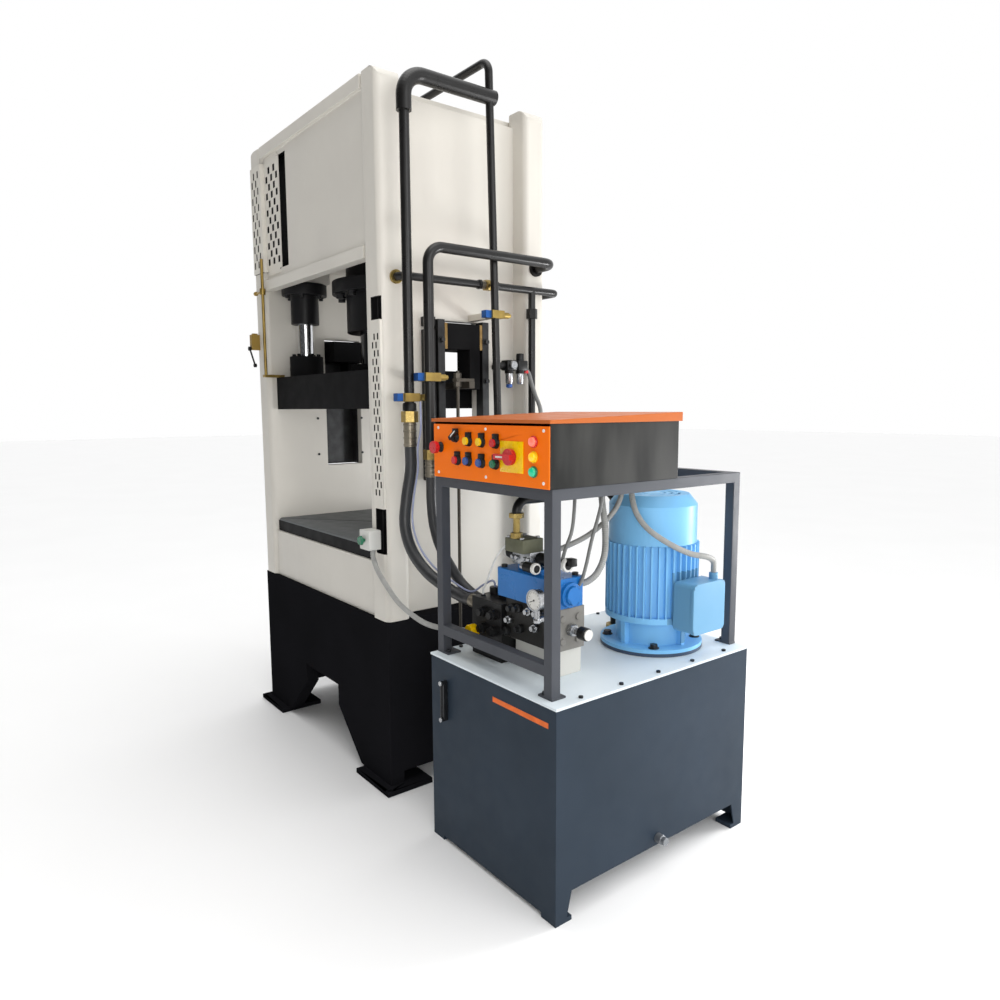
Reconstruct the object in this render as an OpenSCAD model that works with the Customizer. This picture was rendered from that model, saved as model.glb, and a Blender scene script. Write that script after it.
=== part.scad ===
// Free-standing hydraulic press: a straight-sided frame with a guided slide, and the
// power pack that stands beside it. Millimetres, origin on the floor under the press
// centre, front towards -Y, power pack towards +X.

/* [Press frame] */
// Width of the press over its corner posts
press_w = 1220; // [1100:10:1400]
// Depth of the press over its corner posts
press_d = 780; // [760:10:900]
// Height of the corner posts above the floor
press_h = 2660; // [2620:10:2900]
// Height of the black base
base_h = 668; // [620:2:700]
// Width of a corner post
post_w = 120; // [105:5:130]
// Depth of a corner post
post_d = 105; // [90:5:120]
// Rounding of the posts' outer edges
post_r = 25; // [10:1:35]
// Rounding of the posts' outer top corners
post_top_r = 50; // [20:5:60]
// Thickness of the side plates
side_t = 40; // [30:5:50]
// How far the side plates end below the post tops
side_drop = 55; // [20:5:90]
// Width of the guide window in each side plate
window_w = 190; // [170:2:220]
// Height of the guide windows
window_h = 622; // [615:1:640]
// Clearance above the guide shoes at the top of the stroke
window_over = 12; // [8:1:30]

/* [Base] */
// Thickness of the arched front and rear leg plates
leg_t = 60; // [40:5:80]
// Thickness of the side skirts
skirt_t = 50; // [30:5:70]
// Height of the skirts' lower edge
skirt_z = 65; // [40:5:100]
// Half width of the arch between the feet
arch_foot_x = 364; // [320:2:400]
// Half width of the arch at its top
arch_top_x = 165; // [120:5:200]
// Height where the legs' slope ends
arch_shoulder_z = 211; // [180:1:240]
// Height of the arch
arch_top_z = 300; // [260:5:340]
// Thickness of the deck under the bed
deck_t = 40; // [20:5:60]
// Foot plate width
foot_w = 263; // [220:1:300]
// Foot plate depth
foot_d = 201; // [160:1:240]
// Foot plate thickness
foot_t = 20; // [12:1:30]
// Reach of the foot plates past the side of the base
foot_over_x = 38; // [30:1:60]
// Reach of the foot plates past the front and rear of the base
foot_over_y = 36; // [30:1:60]
// Foundation bolt hole
anchor_d = 18; // [14:1:22]
// Foundation bolt hole from the foot plate's edges
anchor_inset = 18; // [15:1:20]

/* [Bed] */
// Height of the bed box
bed_h = 217; // [180:1:240]
// Wall of the bed box
bed_wall = 25; // [15:5:40]
// Recess of the bed's front and rear faces behind the posts
bed_recess = 15; // [5:1:24]
// Thickness of the bolster plate
bolster_t = 60; // [50:2:90]
// Recess of the bolster's front behind the posts
bolster_recess = 25; // [20:1:40]
// Gap between the bolster and the side plates
bolster_gap = 2; // [1:0.5:6]
// Width of the bolster's diagonal grooves
groove_w = 14; // [8:1:20]
// Depth of the bolster's diagonal grooves
groove_depth = 8; // [4:1:12]
// Distance of the grooves' inner ends from the bolster's centre
groove_start = 110; // [80:5:160]

/* [Crown] */
// Height of the crown
crown_h = 640; // [610:5:670]
// Recess of the crown's front and rear plates behind the posts
crown_recess = 18; // [10:1:30]
// Thickness of the crown's front and rear plates
crown_t = 28; // [20:1:28]
// Height of the crown's lower lip
lip_h = 46; // [30:2:60]
// Height of the crown's upper rail
rail_h = 50; // [30:2:60]
// Height of the ceiling plate above the crown's lower edge
ceiling_rise = 110; // [90:5:140]
// Thickness of the ceiling and top plates
ceiling_t = 40; // [25:5:60]
// Thickness of the front cover sheet
cover_t = 4; // [2:0.5:6]
// Left edge of the front cover sheet
cover_x0 = -226; // [-260:2:-200]
// Lower edge of the vent opening above the crown's lower edge
vent_rise = 85; // [70:5:100]
// Upper edge of the vent opening below the posts' tops
vent_drop = 73; // [60:1:100]

/* [Vent sheets] */
// Thickness of the perforated sheets
sheet_t = 3; // [1.5:0.5:4]
// Outer edge of the crown sheet, from the post's outer face
sheet_inset = 10; // [4:1:20]
// Inner edge of the crown sheet
sheet_x1 = -305; // [-330:5:-280]
// Width of the post's vent pocket
pocket_w = 62; // [50:1:70]
// Distance of the post's vent pocket from the post's outer face
pocket_inset = 8; // [6:1:20]
// Depth of the vent pockets
pocket_depth = 30; // [15:1:45]
// Lower end of the right post's pocket
pocket_z0 = 930; // [920:5:960]
// Upper end of the right post's pocket below the crown
pocket_drop = 148; // [130:2:170]
// Lower end of the right post's sheet
strip_z0 = 1100; // [1060:5:1140]
// Upper end of the right post's sheet below the crown
strip_drop = 230; // [200:5:260]
// Slots of the crown's sheet: width, height, column pitch, row pitch
crown_slots = [22, 29, 29, 73];
// Slots of the left post's sheet: width, height, column pitch, row pitch
post_slots = [13, 31, 23, 73];
// Slots of the right post's sheet: width, height, column pitch, row pitch
strip_slots = [10, 23, 13, 60];

/* [Slide] */
// Slide's underside below the crown at the top of its stroke
slide_drop = 550; // [520:5:580]
// Thickness of the slide
slide_t = 150; // [120:5:160]
// Gap between the slide and the side plates
slide_gap = 6; // [4:1:20]
// Recess of the slide's front behind the posts
slide_recess = 40; // [30:1:60]
// Height of the guide shoes above the slide
shoe_rise = 80; // [60:2:84]
// Height of a guide shoe
shoe_h = 100; // [80:2:104]
// Reach of a guide shoe past the side plate's inner face
shoe_reach = 84; // [70:1:85]
// Thickness of a bronze liner
liner_t = 12; // [8:1:16]
// Running gap between the liners and the guide bars
guide_gap = 0.3; // [0.3:0.1:0.6]
// Width of a guide bar
guide_bar_w = 32; // [28:1:60]
// Thickness of a guide bar
guide_bar_t = 45; // [35:1:60]
// Overlap of a guide bar into the window
guide_bar_lap = 5; // [3:1:10]
// Width of the adjusting bar beside the right front guide bar
gib_w = 45; // [30:1:60]
// Thickness of the adjusting bar
gib_t = 35; // [25:1:45]
// Thickness of the cover over the left window
window_cover_t = 3; // [2:0.5:5]

/* [Cylinders] */
// Outer diameter of the main cylinder
main_d = 384; // [360:2:430]
// Main cylinder's lower end below the crown
main_drop = 214; // [200:1:240]
// Main cylinder's upper end below the posts' tops
main_top_drop = 100; // [80:5:180]
// Diameter of the main cylinder's collar
collar_d = 508; // [490:2:560]
// Collar's underside below the crown's lower edge
collar_drop = 48; // [30:2:70]
// Height of the collar
collar_h = 55; // [45:1:90]
// Diameter of the main ram
ram_d = 270; // [220:5:290]
// Radial clearance of the rams in their glands
ram_fit = 0.1; // [0.05:0.01:0.1]
// Side cylinder's distance from the centre, across
side_x = 380; // [360:1:381]
// Side cylinder's distance from the centre, front to back
side_y = 240; // [215:1:245]
// Outer diameter of a side cylinder
side_d = 128; // [115:1:140]
// Diameter of a side cylinder's flange
side_flange_d = 206; // [190:1:207]
// Side cylinder's lower end below the crown
side_cylinder_drop = 156; // [140:2:170]
// Side cylinder's flange underside below the crown's lower edge
side_flange_drop = 25; // [20:1:35]
// Height of a side cylinder's flange
side_flange_h = 51; // [40:1:60]
// Diameter of a side cylinder's rod
rod_d = 70; // [60:1:80]
// Diameter of the rod boss on the slide
boss_d = 154; // [140:1:170]
// Height of the rod boss
boss_h = 96; // [70:1:110]
// Side of the seat block above a side cylinder
seat_w = 180; // [160:1:200]

/* [Power pack] */
// Left face of the oil tank
tank_x0 = 948; // [930:2:960]
// Width of the oil tank
tank_w = 630; // [620:2:660]
// Front face of the oil tank
tank_y0 = -413; // [-425:1:-405]
// Depth of the oil tank
tank_d = 888; // [880:2:920]
// Height of the lid's top above the floor
tank_h = 650; // [620:2:660]
// Wall of the oil tank
tank_wall = 5; // [3:0.5:8]
// Height of the tank's floor
tank_floor = 90; // [70:2:110]
// Thickness of the lid
lid_t = 8; // [5:0.5:12]
// Overhang of the lid past the tank's walls
lid_over = 3; // [0:0.5:8]
// Side of the frame's square tube
tube = 34; // [30:1:46]
// Left face of the pack frame
frame_x0 = 953; // [951:1:965]
// Width of the pack frame
frame_w = 578; // [570:1:590]
// Front face of the pack frame
frame_y0 = -389; // [-395:1:-380]
// Depth of the pack frame
frame_d = 859; // [845:1:864]
// Height of the pack frame above the lid
frame_h = 600; // [590:2:620]
// Height of the lower rails above the lid
rail_rise = 64; // [50:2:80]
// Thickness of the posts' base plates
plate_t = 6; // [4:1:10]

/* [Motor] */
// Motor axis, across
motor_x = 1336; // [1330:1:1345]
// Motor axis, front to back
motor_y = 252; // [245:1:260]
// Diameter of the motor's flange
flange_d = 350; // [330:2:370]
// Thickness of the motor's flange
flange_t = 24; // [18:1:30]
// Diameter over the cooling fins
fin_d = 318; // [305:1:325]
// Diameter of the motor's barrel
barrel_d = 284; // [270:1:290]
// Number of cooling fins
fin_n = 40; // [24:2:48]
// Thickness of a fin
fin_t = 5; // [3:0.5:7]
// Height of the barrel's lower end above the lid
barrel_rise = 125; // [115:1:135]
// Length of the motor's barrel
barrel_l = 240; // [230:1:250]
// Diameter of the fan cover
fan_cover_d = 300; // [292:1:312]
// Height of the fan cover
fan_cover_h = 165; // [155:1:180]
// Diameter of the motor shaft
shaft_d = 38; // [28:1:42]
// Radial clearance of the shaft in its bearings
shaft_fit = 0.05; // [0.02:0.01:0.1]

/* [Control cabinet] */
// Left side of the cabinet
box_x0 = 970; // [962:1:980]
// Width of the cabinet
box_w = 565; // [550:1:580]
// Front of the cabinet
box_y0 = -400; // [-405:1:-395]
// Depth of the cabinet
box_d = 534; // [480:2:540]
// Height of the cabinet
box_h = 178; // [165:1:190]
// Sheet thickness of the cabinet
box_t = 3; // [2:0.5:5]
// Overhang of the lid
box_lid_over = 8; // [6:1:30]
// Height of the lid at the front
box_lid_h = 10; // [8:1:20]
// Rise of the lid towards the back
box_lid_rise = 18; // [0:1:24]
// Gap between the front panel's top and the lid
panel_gap = 7; // [3:1:12]
// Thickness of the front panel
panel_t = 4; // [2:0.5:6]
// Diameter of a button bezel
bezel_d = 30; // [26:1:34]
// Length of a button bezel
bezel_l = 12; // [12:1:24]
// Diameter of a push button's cap
cap_d = 24; // [20:1:25]
// Reach of a cap out of its bezel
cap_out = 6; // [5:0.5:9]
// Clearance of caps and stems
cap_fit = 0.3; // [0.2:0.05:0.4]

/* [Pipes] */
// Line of the pressure pipes, across
pipe_x = 690; // [686:1:694]
// Line of the front riser, front to back
riser_y = -325; // [-335:1:-315]
// Diameter of the front riser
riser_d = 36; // [34:1:48]
// Lower end of the front riser
riser_z0 = 1425; // [1415:1:1440]
// Diameter of the header
header_d = 54; // [46:1:60]
// Header's line below the posts' tops
header_drop = 42; // [30:1:55]
// Diameter of the rear riser
feed_d = 30; // [26:1:34]
// Diameter of the return pipe
return_d = 38; // [32:1:40]
// Line of the return pipe, across
return_x = 732; // [731:1:740]
// Front leg of the return pipe, front to back
return_y = -264; // [-272:1:-258]
// Return pipe's cross run above the crown's lower edge
return_rise = 20; // [10:1:40]
// Lower end of the return pipe
return_z0 = 1290; // [1275:1:1300]
// Diameter of the pilot pipe
pilot_d = 29; // [24:1:32]
// Line of the pilot pipe, across
pilot_x = 651; // [650:1:654]
// Pilot pipe below the crown's lower edge
pilot_drop = 77; // [65:1:90]

/* [Hidden] */
$fn = 48;
eps = 0.01;
hx = press_w / 2;
hy = press_d / 2;
post_ix = hx - post_w;
post_iy = hy - post_d;
side_ox = post_ix + side_t;
bed_z1 = base_h + bed_h;
bolster_z1 = bed_z1 + bolster_t;
crown_y = hy - crown_recess;
crown_iy = crown_y - crown_t;
crown_top = press_h - 20;
crown_z = press_h - crown_h;
ceiling_z = crown_z + ceiling_rise;
vent_z0 = crown_z + vent_rise;
vent_z1 = press_h - vent_drop;
pocket_z1 = crown_z - pocket_drop;
strip_z1 = crown_z - strip_drop;
slide_z = crown_z - slide_drop;
slide_z1 = slide_z + slide_t;
slide_hx = post_ix - slide_gap;
slide_hy = hy - slide_recess;
shoe_z = slide_z1 + shoe_rise;
window_z1 = shoe_z + shoe_h + window_over;
window_z0 = window_z1 - window_h;
guide_y = window_w / 2 - guide_bar_lap;
guide_oy = guide_y + guide_bar_w;
guide_ox = side_ox + guide_bar_t;
shoe_hy = guide_y - guide_gap - liner_t;
shoe_ox = post_ix + shoe_reach;
side_spots = [[-side_x, -side_y], [side_x, side_y]];
side_z = crown_z - side_cylinder_drop;
side_flange_z = crown_z - side_flange_drop;
side_flange_z1 = side_flange_z + side_flange_h;
main_z = crown_z - main_drop;
main_top = press_h - main_top_drop;
collar_z = crown_z - collar_drop;
ram_top = main_top - 80;
tank_x1 = tank_x0 + tank_w;
tank_y1 = tank_y0 + tank_d;
lid_z = tank_h - lid_t;
frame_x1 = frame_x0 + frame_w;
frame_y1 = frame_y0 + frame_d;
frame_z1 = tank_h + frame_h;
rail_z = tank_h + rail_rise;
barrel_z0 = tank_h + barrel_rise;
barrel_z1 = barrel_z0 + barrel_l;
fan_cover_z1 = barrel_z1 + fan_cover_h;
header_z = press_h - header_drop;
return_z = crown_z + return_rise;
pilot_z = crown_z - pilot_drop;
ring_z = frame_z1 - tube;
box_x1 = box_x0 + box_w;
box_z0 = frame_z1;
box_z1 = box_z0 + box_h;
panel_y = box_y0 - panel_t;
anchor_x = hx + foot_over_x - anchor_inset;
anchor_y = hy + foot_over_y - anchor_inset;
seam = 0.1;

// Control panel layout, [across, up] from the cabinet's lower left corner
caps = [[196, 121], [263, 120], [332, 119], [136, 60], [195, 60], [262, 58], [331, 58]];
cap_colours = ["gold", "gold", "firebrick", "firebrick", "royalblue", "royalblue", "seagreen"];
e_stop_at = [40, 97];
selector_at = [127, 131];
isolator_at = [406, 82];
isolator_plate = [104, 90];
lamps = [[502, 128], [502, 86], [502, 45]];
e_stop_d = 40;
stem_d = 12;

// Valve stack on the tank's lid
plinth_lo = [1200, -250, tank_h];
plinth_size = [200, 100, 90];
block_lo = [1190, -280, tank_h + 90];
block_size = [235, 120, 130];
valve_lo = [1150, -290, tank_h + 220];
valve_size = [275, 130, 92];
port_lo = [1030, -300, tank_h];
port_size = [160, 110, 195];
stack_z = valve_lo.z + valve_size.z;
valve_cap_t = 18;
pilot_z0 = stack_z + valve_cap_t;
pilot_top = pilot_z0 + 88;
knob_at = [1062, port_lo.y, tank_h + 82];
// Hose ports in the port block's left face, [front to back, up, diameter of the hose's tail]
hose_ports = [[22, 168, 46], [78, 156, 42]];
hose_tail_l = 30;
front_tail_l = 90;
rear_tail_l = 66;
// Gland of the station's conduit in the port block's left face, [front to back, up]
station_gland = [50, 45];
gland_l = 20;
cabinet_gland_l = 14;
terminal_gland_l = 22;
station_z = 982;

// Routes of the free hoses and conduits
hose_front_route = [[690, -325, 1333], [690, -325, 1250], [684, -341, 1145], [691, -354, 1048],
    [729, -351, 962], [795, -332, 892], [872, -303, 846], [950, -278, 818], [1000, -278, 818]];
hose_rear_route = [[732, -264, 1222], [732, -264, 1130], [748, -264, 1040], [786, -258, 958],
    [860, -242, 867], [915, -232, 829], [957, -225, 812], [985, -222, 806], [1000, -222, 806]];
motor_route = [[1380, 94, 1236], [1380, 94, 1190], [1400, 96, 1130], [1440, 108, 1080],
    [1490, 150, 1035], [1530, 210, 1000], [1552, 270, 985],
    [1550, 308, 965], [1545, 318, 940], [1545, 318, 926]];
valve_upper_route = [[1362, 62, 1236], [1362, 62, 1180], [1348, 30, 1120], [1318, -40, 1060],
    [1280, -115, 1022], [1258, -160, 1008], [1258, -190, 1008]];
valve_lower_route = [[1351, -14, 1236], [1351, -14, 1180], [1371, -18, 1090], [1390, -38, 1010],
    [1394, -70, 958], [1384, -100, 930], [1362, -122, 919], [1343, -138, 916], [1335, -152, 916],
    [1335, -160, 916]];
station_route = [[562, -418, 945], [562, -418, 918], [588, -415, 872], [640, -408, 822], [692, -397, 776],
    [748, -378, 738], [815, -348, 706], [890, -310, 697], [950, -268, 698], [985, -250, 695],
    [1010, -250, 695]];
lead_route = [[1196, -262, 1036], [1178, -262, 1036], [1145, -270, 1008], [1112, -274, 960],
    [1082, -274, 905], [1056, -272, 865], [1056, -272, 849]];

// Shared shapes

function unit(v) = v / norm(v);
function tangent(p, i) = unit(p[min(i + 1, len(p) - 1)] - p[max(i - 1, 0)]);
function ring(c, t, r, n, ref) = let (a = unit(cross(t, ref)), b = cross(t, a))
    [for (k = [0 : n - 1]) c + r * (cos(360 * k / n) * a + sin(360 * k / n) * b)];

// A box from its low corner to its high corner
module span(lo, hi) { translate(lo) cube(hi - lo); }

// A round bar from one point to another
module bar(a, b, d) {
    v = b - a;
    translate(a) rotate([0, acos(v.z / norm(v)), atan2(v.y, v.x)]) cylinder(d = d, h = norm(v));
}

// A hexagon prism along +Z, sized across its flats
module hex(flats, h) { cylinder(d = flats / cos(30), h = h, $fn = 6); }

// A bolt head along +Z with its washer
module bolt_head(flats, h) {
    cylinder(d = flats * 1.5, h = h * 0.2);
    translate([0, 0, h * 0.2]) hex(flats, h * 0.8);
}

// A rectangle with rounded corners
module round_rect(w, d, r) {
    square([w - 2 * r, d], center = true);
    square([w, d - 2 * r], center = true);
    for (x = [-1, 1], y = [-1, 1]) translate([x * (w / 2 - r), y * (d / 2 - r)]) circle(r);
}

// A quarter bend about c, from direction u to direction v
module bend(c, u, v, r, d) {
    w = cross(u, v);
    multmatrix([[u.x, v.x, w.x, c.x], [u.y, v.y, w.y, c.y], [u.z, v.z, w.z, c.z], [0, 0, 0, 1]])
        rotate_extrude(angle = 90) translate([r, 0]) circle(d = d);
}

// A pipe along square corners, with bends of radius r
module pipe(p, r, d) {
    n = len(p);
    for (i = [0 : n - 2]) {
        a = unit(p[i + 1] - p[i]);
        start = p[i] + (i > 0 ? r : 0) * a;
        end = p[i + 1] - (i < n - 2 ? r : 0) * a;
        bar(start, end, d);
    }
    for (i = [1 : 1 : n - 2]) {
        a = unit(p[i] - p[i - 1]);
        b = unit(p[i + 1] - p[i]);
        bend(p[i] - r * a + r * b, -b, a, r, d);
    }
}

// A tube swept along a route's own points
module swept(points, d, n = 10, ref = [0, 1, 0]) {
    m = len(points);
    rings = [for (i = [0 : m - 1]) ring(points[i], tangent(points, i), d / 2, n, ref)];
    sides = [for (i = [0 : m - 2], k = [0 : n - 1]) let (a = i * n + k, b = i * n + (k + 1) % n)
        each [[a, a + n, b + n], [a, b + n, b]]];
    polyhedron([for (r = rings) each r],
        concat([[for (k = [0 : n - 1]) k]], [[for (k = [n - 1 : -1 : 0]) (m - 1) * n + k]], sides));
}

// Press frame

module base_frame() color("#1b1b1d") difference() {
    union() {
        for (s = [-1, 1]) {
            translate([0, s * (hy - leg_t / 2), 0]) rotate([90, 0, 0])
                linear_extrude(leg_t, center = true) arch_outline();
            span([s > 0 ? hx - skirt_t : -hx, -hy + leg_t, skirt_z],
                [s > 0 ? hx : -hx + skirt_t, hy - leg_t, base_h]);
        }
        span([-hx + skirt_t, -hy + leg_t, base_h - deck_t], [hx - skirt_t, hy - leg_t, base_h]);
        for (x = [-1, 1], y = [-1, 1])
            translate([x * (hx + foot_over_x - foot_w / 2), y * (hy + foot_over_y - foot_d / 2),
                foot_t / 2])
                cube([foot_w, foot_d, foot_t], center = true);
    }
    for (x = [-1, 1], y = [-1, 1])
        translate([x * anchor_x, y * anchor_y, -1]) cylinder(d = anchor_d, h = foot_t + 2);
}

module arch_outline() {
    polygon([[-hx, foot_t], [-arch_foot_x, foot_t], [-arch_top_x, arch_shoulder_z], [-arch_top_x,
        arch_top_z],
        [arch_top_x, arch_top_z], [arch_top_x, arch_shoulder_z], [arch_foot_x, foot_t], [hx, foot_t],
        [hx, base_h], [-hx, base_h]]);
}

// One side of the frame, drawn as the right one: two posts and the side plate between them
module upright() {
    difference() {
        union() {
            for (y = [-1, 1]) intersection() {
                translate([post_ix + post_w / 2, y * (hy - post_d / 2), base_h])
                    linear_extrude(press_h - base_h) round_rect(post_w, post_d, post_r);
                translate([0, y * (hy - post_d / 2), 0]) rotate([90, 0, 0])
                    linear_extrude(post_d + 2, center = true) post_outline();
            }
            for (y = [-1, 1]) span([post_ix, y > 0 ? post_iy : -hy + post_r, base_h],
                [post_ix + post_r, y > 0 ? hy - post_r : -post_iy, press_h - rail_h]);
            span([post_ix, -post_iy - post_r, base_h], [side_ox, post_iy + post_r, press_h - side_drop]);
        }
        span([post_ix - 1, -window_w / 2, window_z0], [side_ox + 1, window_w / 2, window_z1]);
    }
}

// A post's face seen from the front, with its outer top corner rounded
module post_outline() {
    translate([post_ix - 1, base_h]) square([post_w + 1 - post_top_r, press_h - base_h]);
    translate([post_ix - 1, base_h]) square([post_w + 1, press_h - base_h - post_top_r]);
    translate([hx - post_top_r, press_h - post_top_r]) circle(post_top_r);
}

module left_upright() color("#e9e5dd") difference() {
    mirror([1, 0, 0]) upright();
    span([-hx + sheet_inset + 6, -hy - 1, vent_z0], [-post_ix - 10, -hy + pocket_depth, vent_z1]);
}

module right_upright() color("#e9e5dd") difference() {
    upright();
    span([hx - pocket_inset - pocket_w, -hy - 1, pocket_z0], [hx - pocket_inset, -hy + pocket_depth,
        pocket_z1]);
}

module crown() color("#e4e0d8") difference() {
    union() {
        for (s = [-1, 1]) {
            span([-post_ix, s > 0 ? crown_iy : -crown_y, crown_z],
                [post_ix, s > 0 ? crown_y : -crown_iy, crown_top]);
            for (z = [[crown_z, crown_z + lip_h], [press_h - rail_h, press_h]])
                span([-post_ix, s > 0 ? crown_y - eps : -hy, z[0]], [post_ix,
                    s > 0 ? hy : -crown_y + eps, z[1]]);
            span([s > 0 ? -post_ix : cover_x0, s > 0 ? crown_y - eps : -crown_y - cover_t,
                crown_z + lip_h - eps],
                [post_ix, s > 0 ? crown_y + cover_t : -crown_y + eps, press_h - rail_h + eps]);
        }
        span([-post_ix, -crown_iy - eps, ceiling_z], [post_ix, crown_iy + eps, ceiling_z + ceiling_t]);
        span([-post_ix, -crown_iy - eps, crown_top - ceiling_t], [post_ix, crown_iy + eps, crown_top]);
        for (p = side_spots) translate([p.x - seat_w / 2, p.y - seat_w / 2, side_flange_z1])
            cube([seat_w, seat_w, ceiling_z - side_flange_z1 + eps]);
    }
    span([-post_ix - 1, -crown_y - 1, vent_z0], [cover_x0, -crown_iy + 1, vent_z1]);
    translate([0, 0, ceiling_z - 1]) cylinder(d = main_d + 2, h = ceiling_t + 2);
    for (p = side_spots) translate([p.x, p.y, side_flange_z1 - 1])
        cylinder(d = side_d + 2, h = ceiling_z + ceiling_t - side_flange_z1 + 2);
    translate([0, 0, crown_top - ceiling_t - 1]) cylinder(d = feed_d + 4, h = ceiling_t + 2);
}

module bed_box() color("#e4e0d8") difference() {
    span([-post_ix, -hy + bed_recess, base_h], [post_ix, hy - bed_recess, bed_z1]);
    for (s = [-1, 1]) span([s > 0 ? bed_wall / 2 : -post_ix + bed_wall, -hy + bed_recess + bed_wall,
        base_h - 1],
        [s > 0 ? post_ix - bed_wall : -bed_wall / 2, hy - bed_recess - bed_wall, bed_z1 - bed_wall]);
}

module bolster() color("#4a4c4e") difference() {
    w = 2 * (post_ix - bolster_gap);
    d = 2 * (hy - bolster_recess);
    slot_l = norm([w, d]) / 2 + 10;
    translate([0, 0, bed_z1 + bolster_t / 2]) cube([w, d, bolster_t], center = true);
    for (x = [-1, 1], y = [-1, 1]) rotate([0, 0, atan2(y * d, x * w)]) {
        span([groove_start, -groove_w / 2, bolster_z1 - groove_depth], [slot_l, groove_w / 2,
            bolster_z1 + 1]);
    }
}

// Columns of slots between two corners of a sheet, every second column half a pitch higher
module slots(pattern, x0, x1, z0, z1, y) {
    pitch_x = pattern[2];
    pitch_z = pattern[3];
    columns = floor((x1 - x0) / pitch_x);
    first = (x0 + x1 - (columns - 1) * pitch_x) / 2;
    rows = floor((z1 - z0 - pitch_z / 2) / pitch_z);
    low = (z0 + z1 - (rows - 0.5) * pitch_z) / 2;
    for (c = [0 : columns - 1], k = [0 : rows - 1])
        translate([first + c * pitch_x, y, low + (k + (c % 2) / 2) * pitch_z])
            cube([pattern[0], 40, pattern[1]], center = true);
}

module vent_sheets() color("#eceae4") {
    step_x = -post_ix + 12;
    strip_x0 = hx - pocket_inset - pocket_w;
    difference() {
        union() {
            span([-hx + sheet_inset, -hy - sheet_t, vent_z0], [step_x, -hy, vent_z1]);
            span([step_x - sheet_t, -hy - eps, vent_z0], [step_x, -crown_y - sheet_t + eps, vent_z1]);
            span([step_x - sheet_t, -crown_y - sheet_t, vent_z0], [sheet_x1, -crown_y, vent_z1]);
        }
        slots(post_slots, -hx + sheet_inset + 8, step_x - 20, vent_z0, vent_z1, -hy);
        slots(crown_slots, step_x + 8, sheet_x1 - 4, vent_z0, vent_z1, -crown_y);
    }
    // Tabs that fix the crown sheet above and below the opening
    for (z = [vent_z0 - 20, vent_z1 - eps])
        span([step_x + 20, -crown_y - sheet_t, z], [sheet_x1 - 20, -crown_y, z + 20 + eps]);
    difference() {
        span([strip_x0 - 6, -hy - sheet_t, strip_z0], [hx - pocket_inset + 2, -hy, strip_z1]);
        slots(strip_slots, strip_x0 + 1, hx - pocket_inset - 1, strip_z0 + 8, strip_z1 - 8, -hy);
    }
}

module guide_bars() color("#3c3e40") {
    gib_y = -guide_oy - 4;
    for (x = [-1, 1], y = [-1, 1])
        translate([x * (side_ox + guide_bar_t / 2), y * (guide_y + guide_bar_w / 2),
            (window_z0 + window_z1) / 2])
            cube([guide_bar_t, guide_bar_w, window_h], center = true);
    // Cover over the left window
    span([-guide_ox - window_cover_t, -guide_oy, window_z0], [-guide_ox, guide_oy, window_z1]);
    // Adjusting bar and its stop beside the right front guide bar
    span([side_ox, gib_y - gib_w, window_z0], [side_ox + gib_t, gib_y, window_z1 - 40]);
    span([side_ox, gib_y - gib_w, window_z1 - 28], [side_ox + gib_t, gib_y, window_z1 + 8]);
}

module press_bolts() color("#2c2c2e") {
    bolt_flats = 18;
    bolt_h = 14;
    bolt_rows = 4;
    for (x = [-1, 1], y = [-1, 1], k = [0 : bolt_rows - 1])
        translate([x * (guide_ox + (x < 0 ? window_cover_t : 0)), y * (guide_y + guide_bar_w / 2),
            window_z0 + (k + 0.5) * window_h / bolt_rows]) rotate([0, x * 90, 0]) bolt_head(bolt_flats,
                bolt_h);
    for (k = [0 : 11]) rotate([0, 0, 30 * k + 15]) translate([(collar_d + main_d) / 4, 0, collar_z])
        rotate([180, 0, 0]) bolt_head(30, 22);
    for (p = side_spots, k = [0 : 5]) translate([p.x, p.y, side_flange_z]) rotate([180, 0, 60 * k + 30])
        translate([(side_flange_d + side_d) / 4, 0, 0]) bolt_head(18, 14);
}

// Cylinders and slide

module main_cylinder() color("#232325") difference() {
    union() {
        translate([0, 0, main_z]) cylinder(d = main_d, h = main_top - main_z);
        translate([0, 0, collar_z]) cylinder(d = collar_d, h = collar_h);
        translate([0, 0, ceiling_z + ceiling_t]) cylinder(d = main_d + 90, h = 60);
    }
    translate([0, 0, main_z - 1]) cylinder(d = ram_d + 2 * ram_fit, h = main_top - main_z - 39);
}

module side_cylinders() color("#232325") for (p = side_spots) translate([p.x, p.y, 0]) difference() {
    union() {
        translate([0, 0, side_z]) cylinder(d = side_d, h = main_top - 60 - side_z);
        translate([0, 0, side_flange_z]) cylinder(d = side_flange_d, h = side_flange_h);
    }
    translate([0, 0, side_z - 1]) cylinder(d = rod_d + 2 * ram_fit, h = main_top - 60 - side_z - 29);
}

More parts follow.
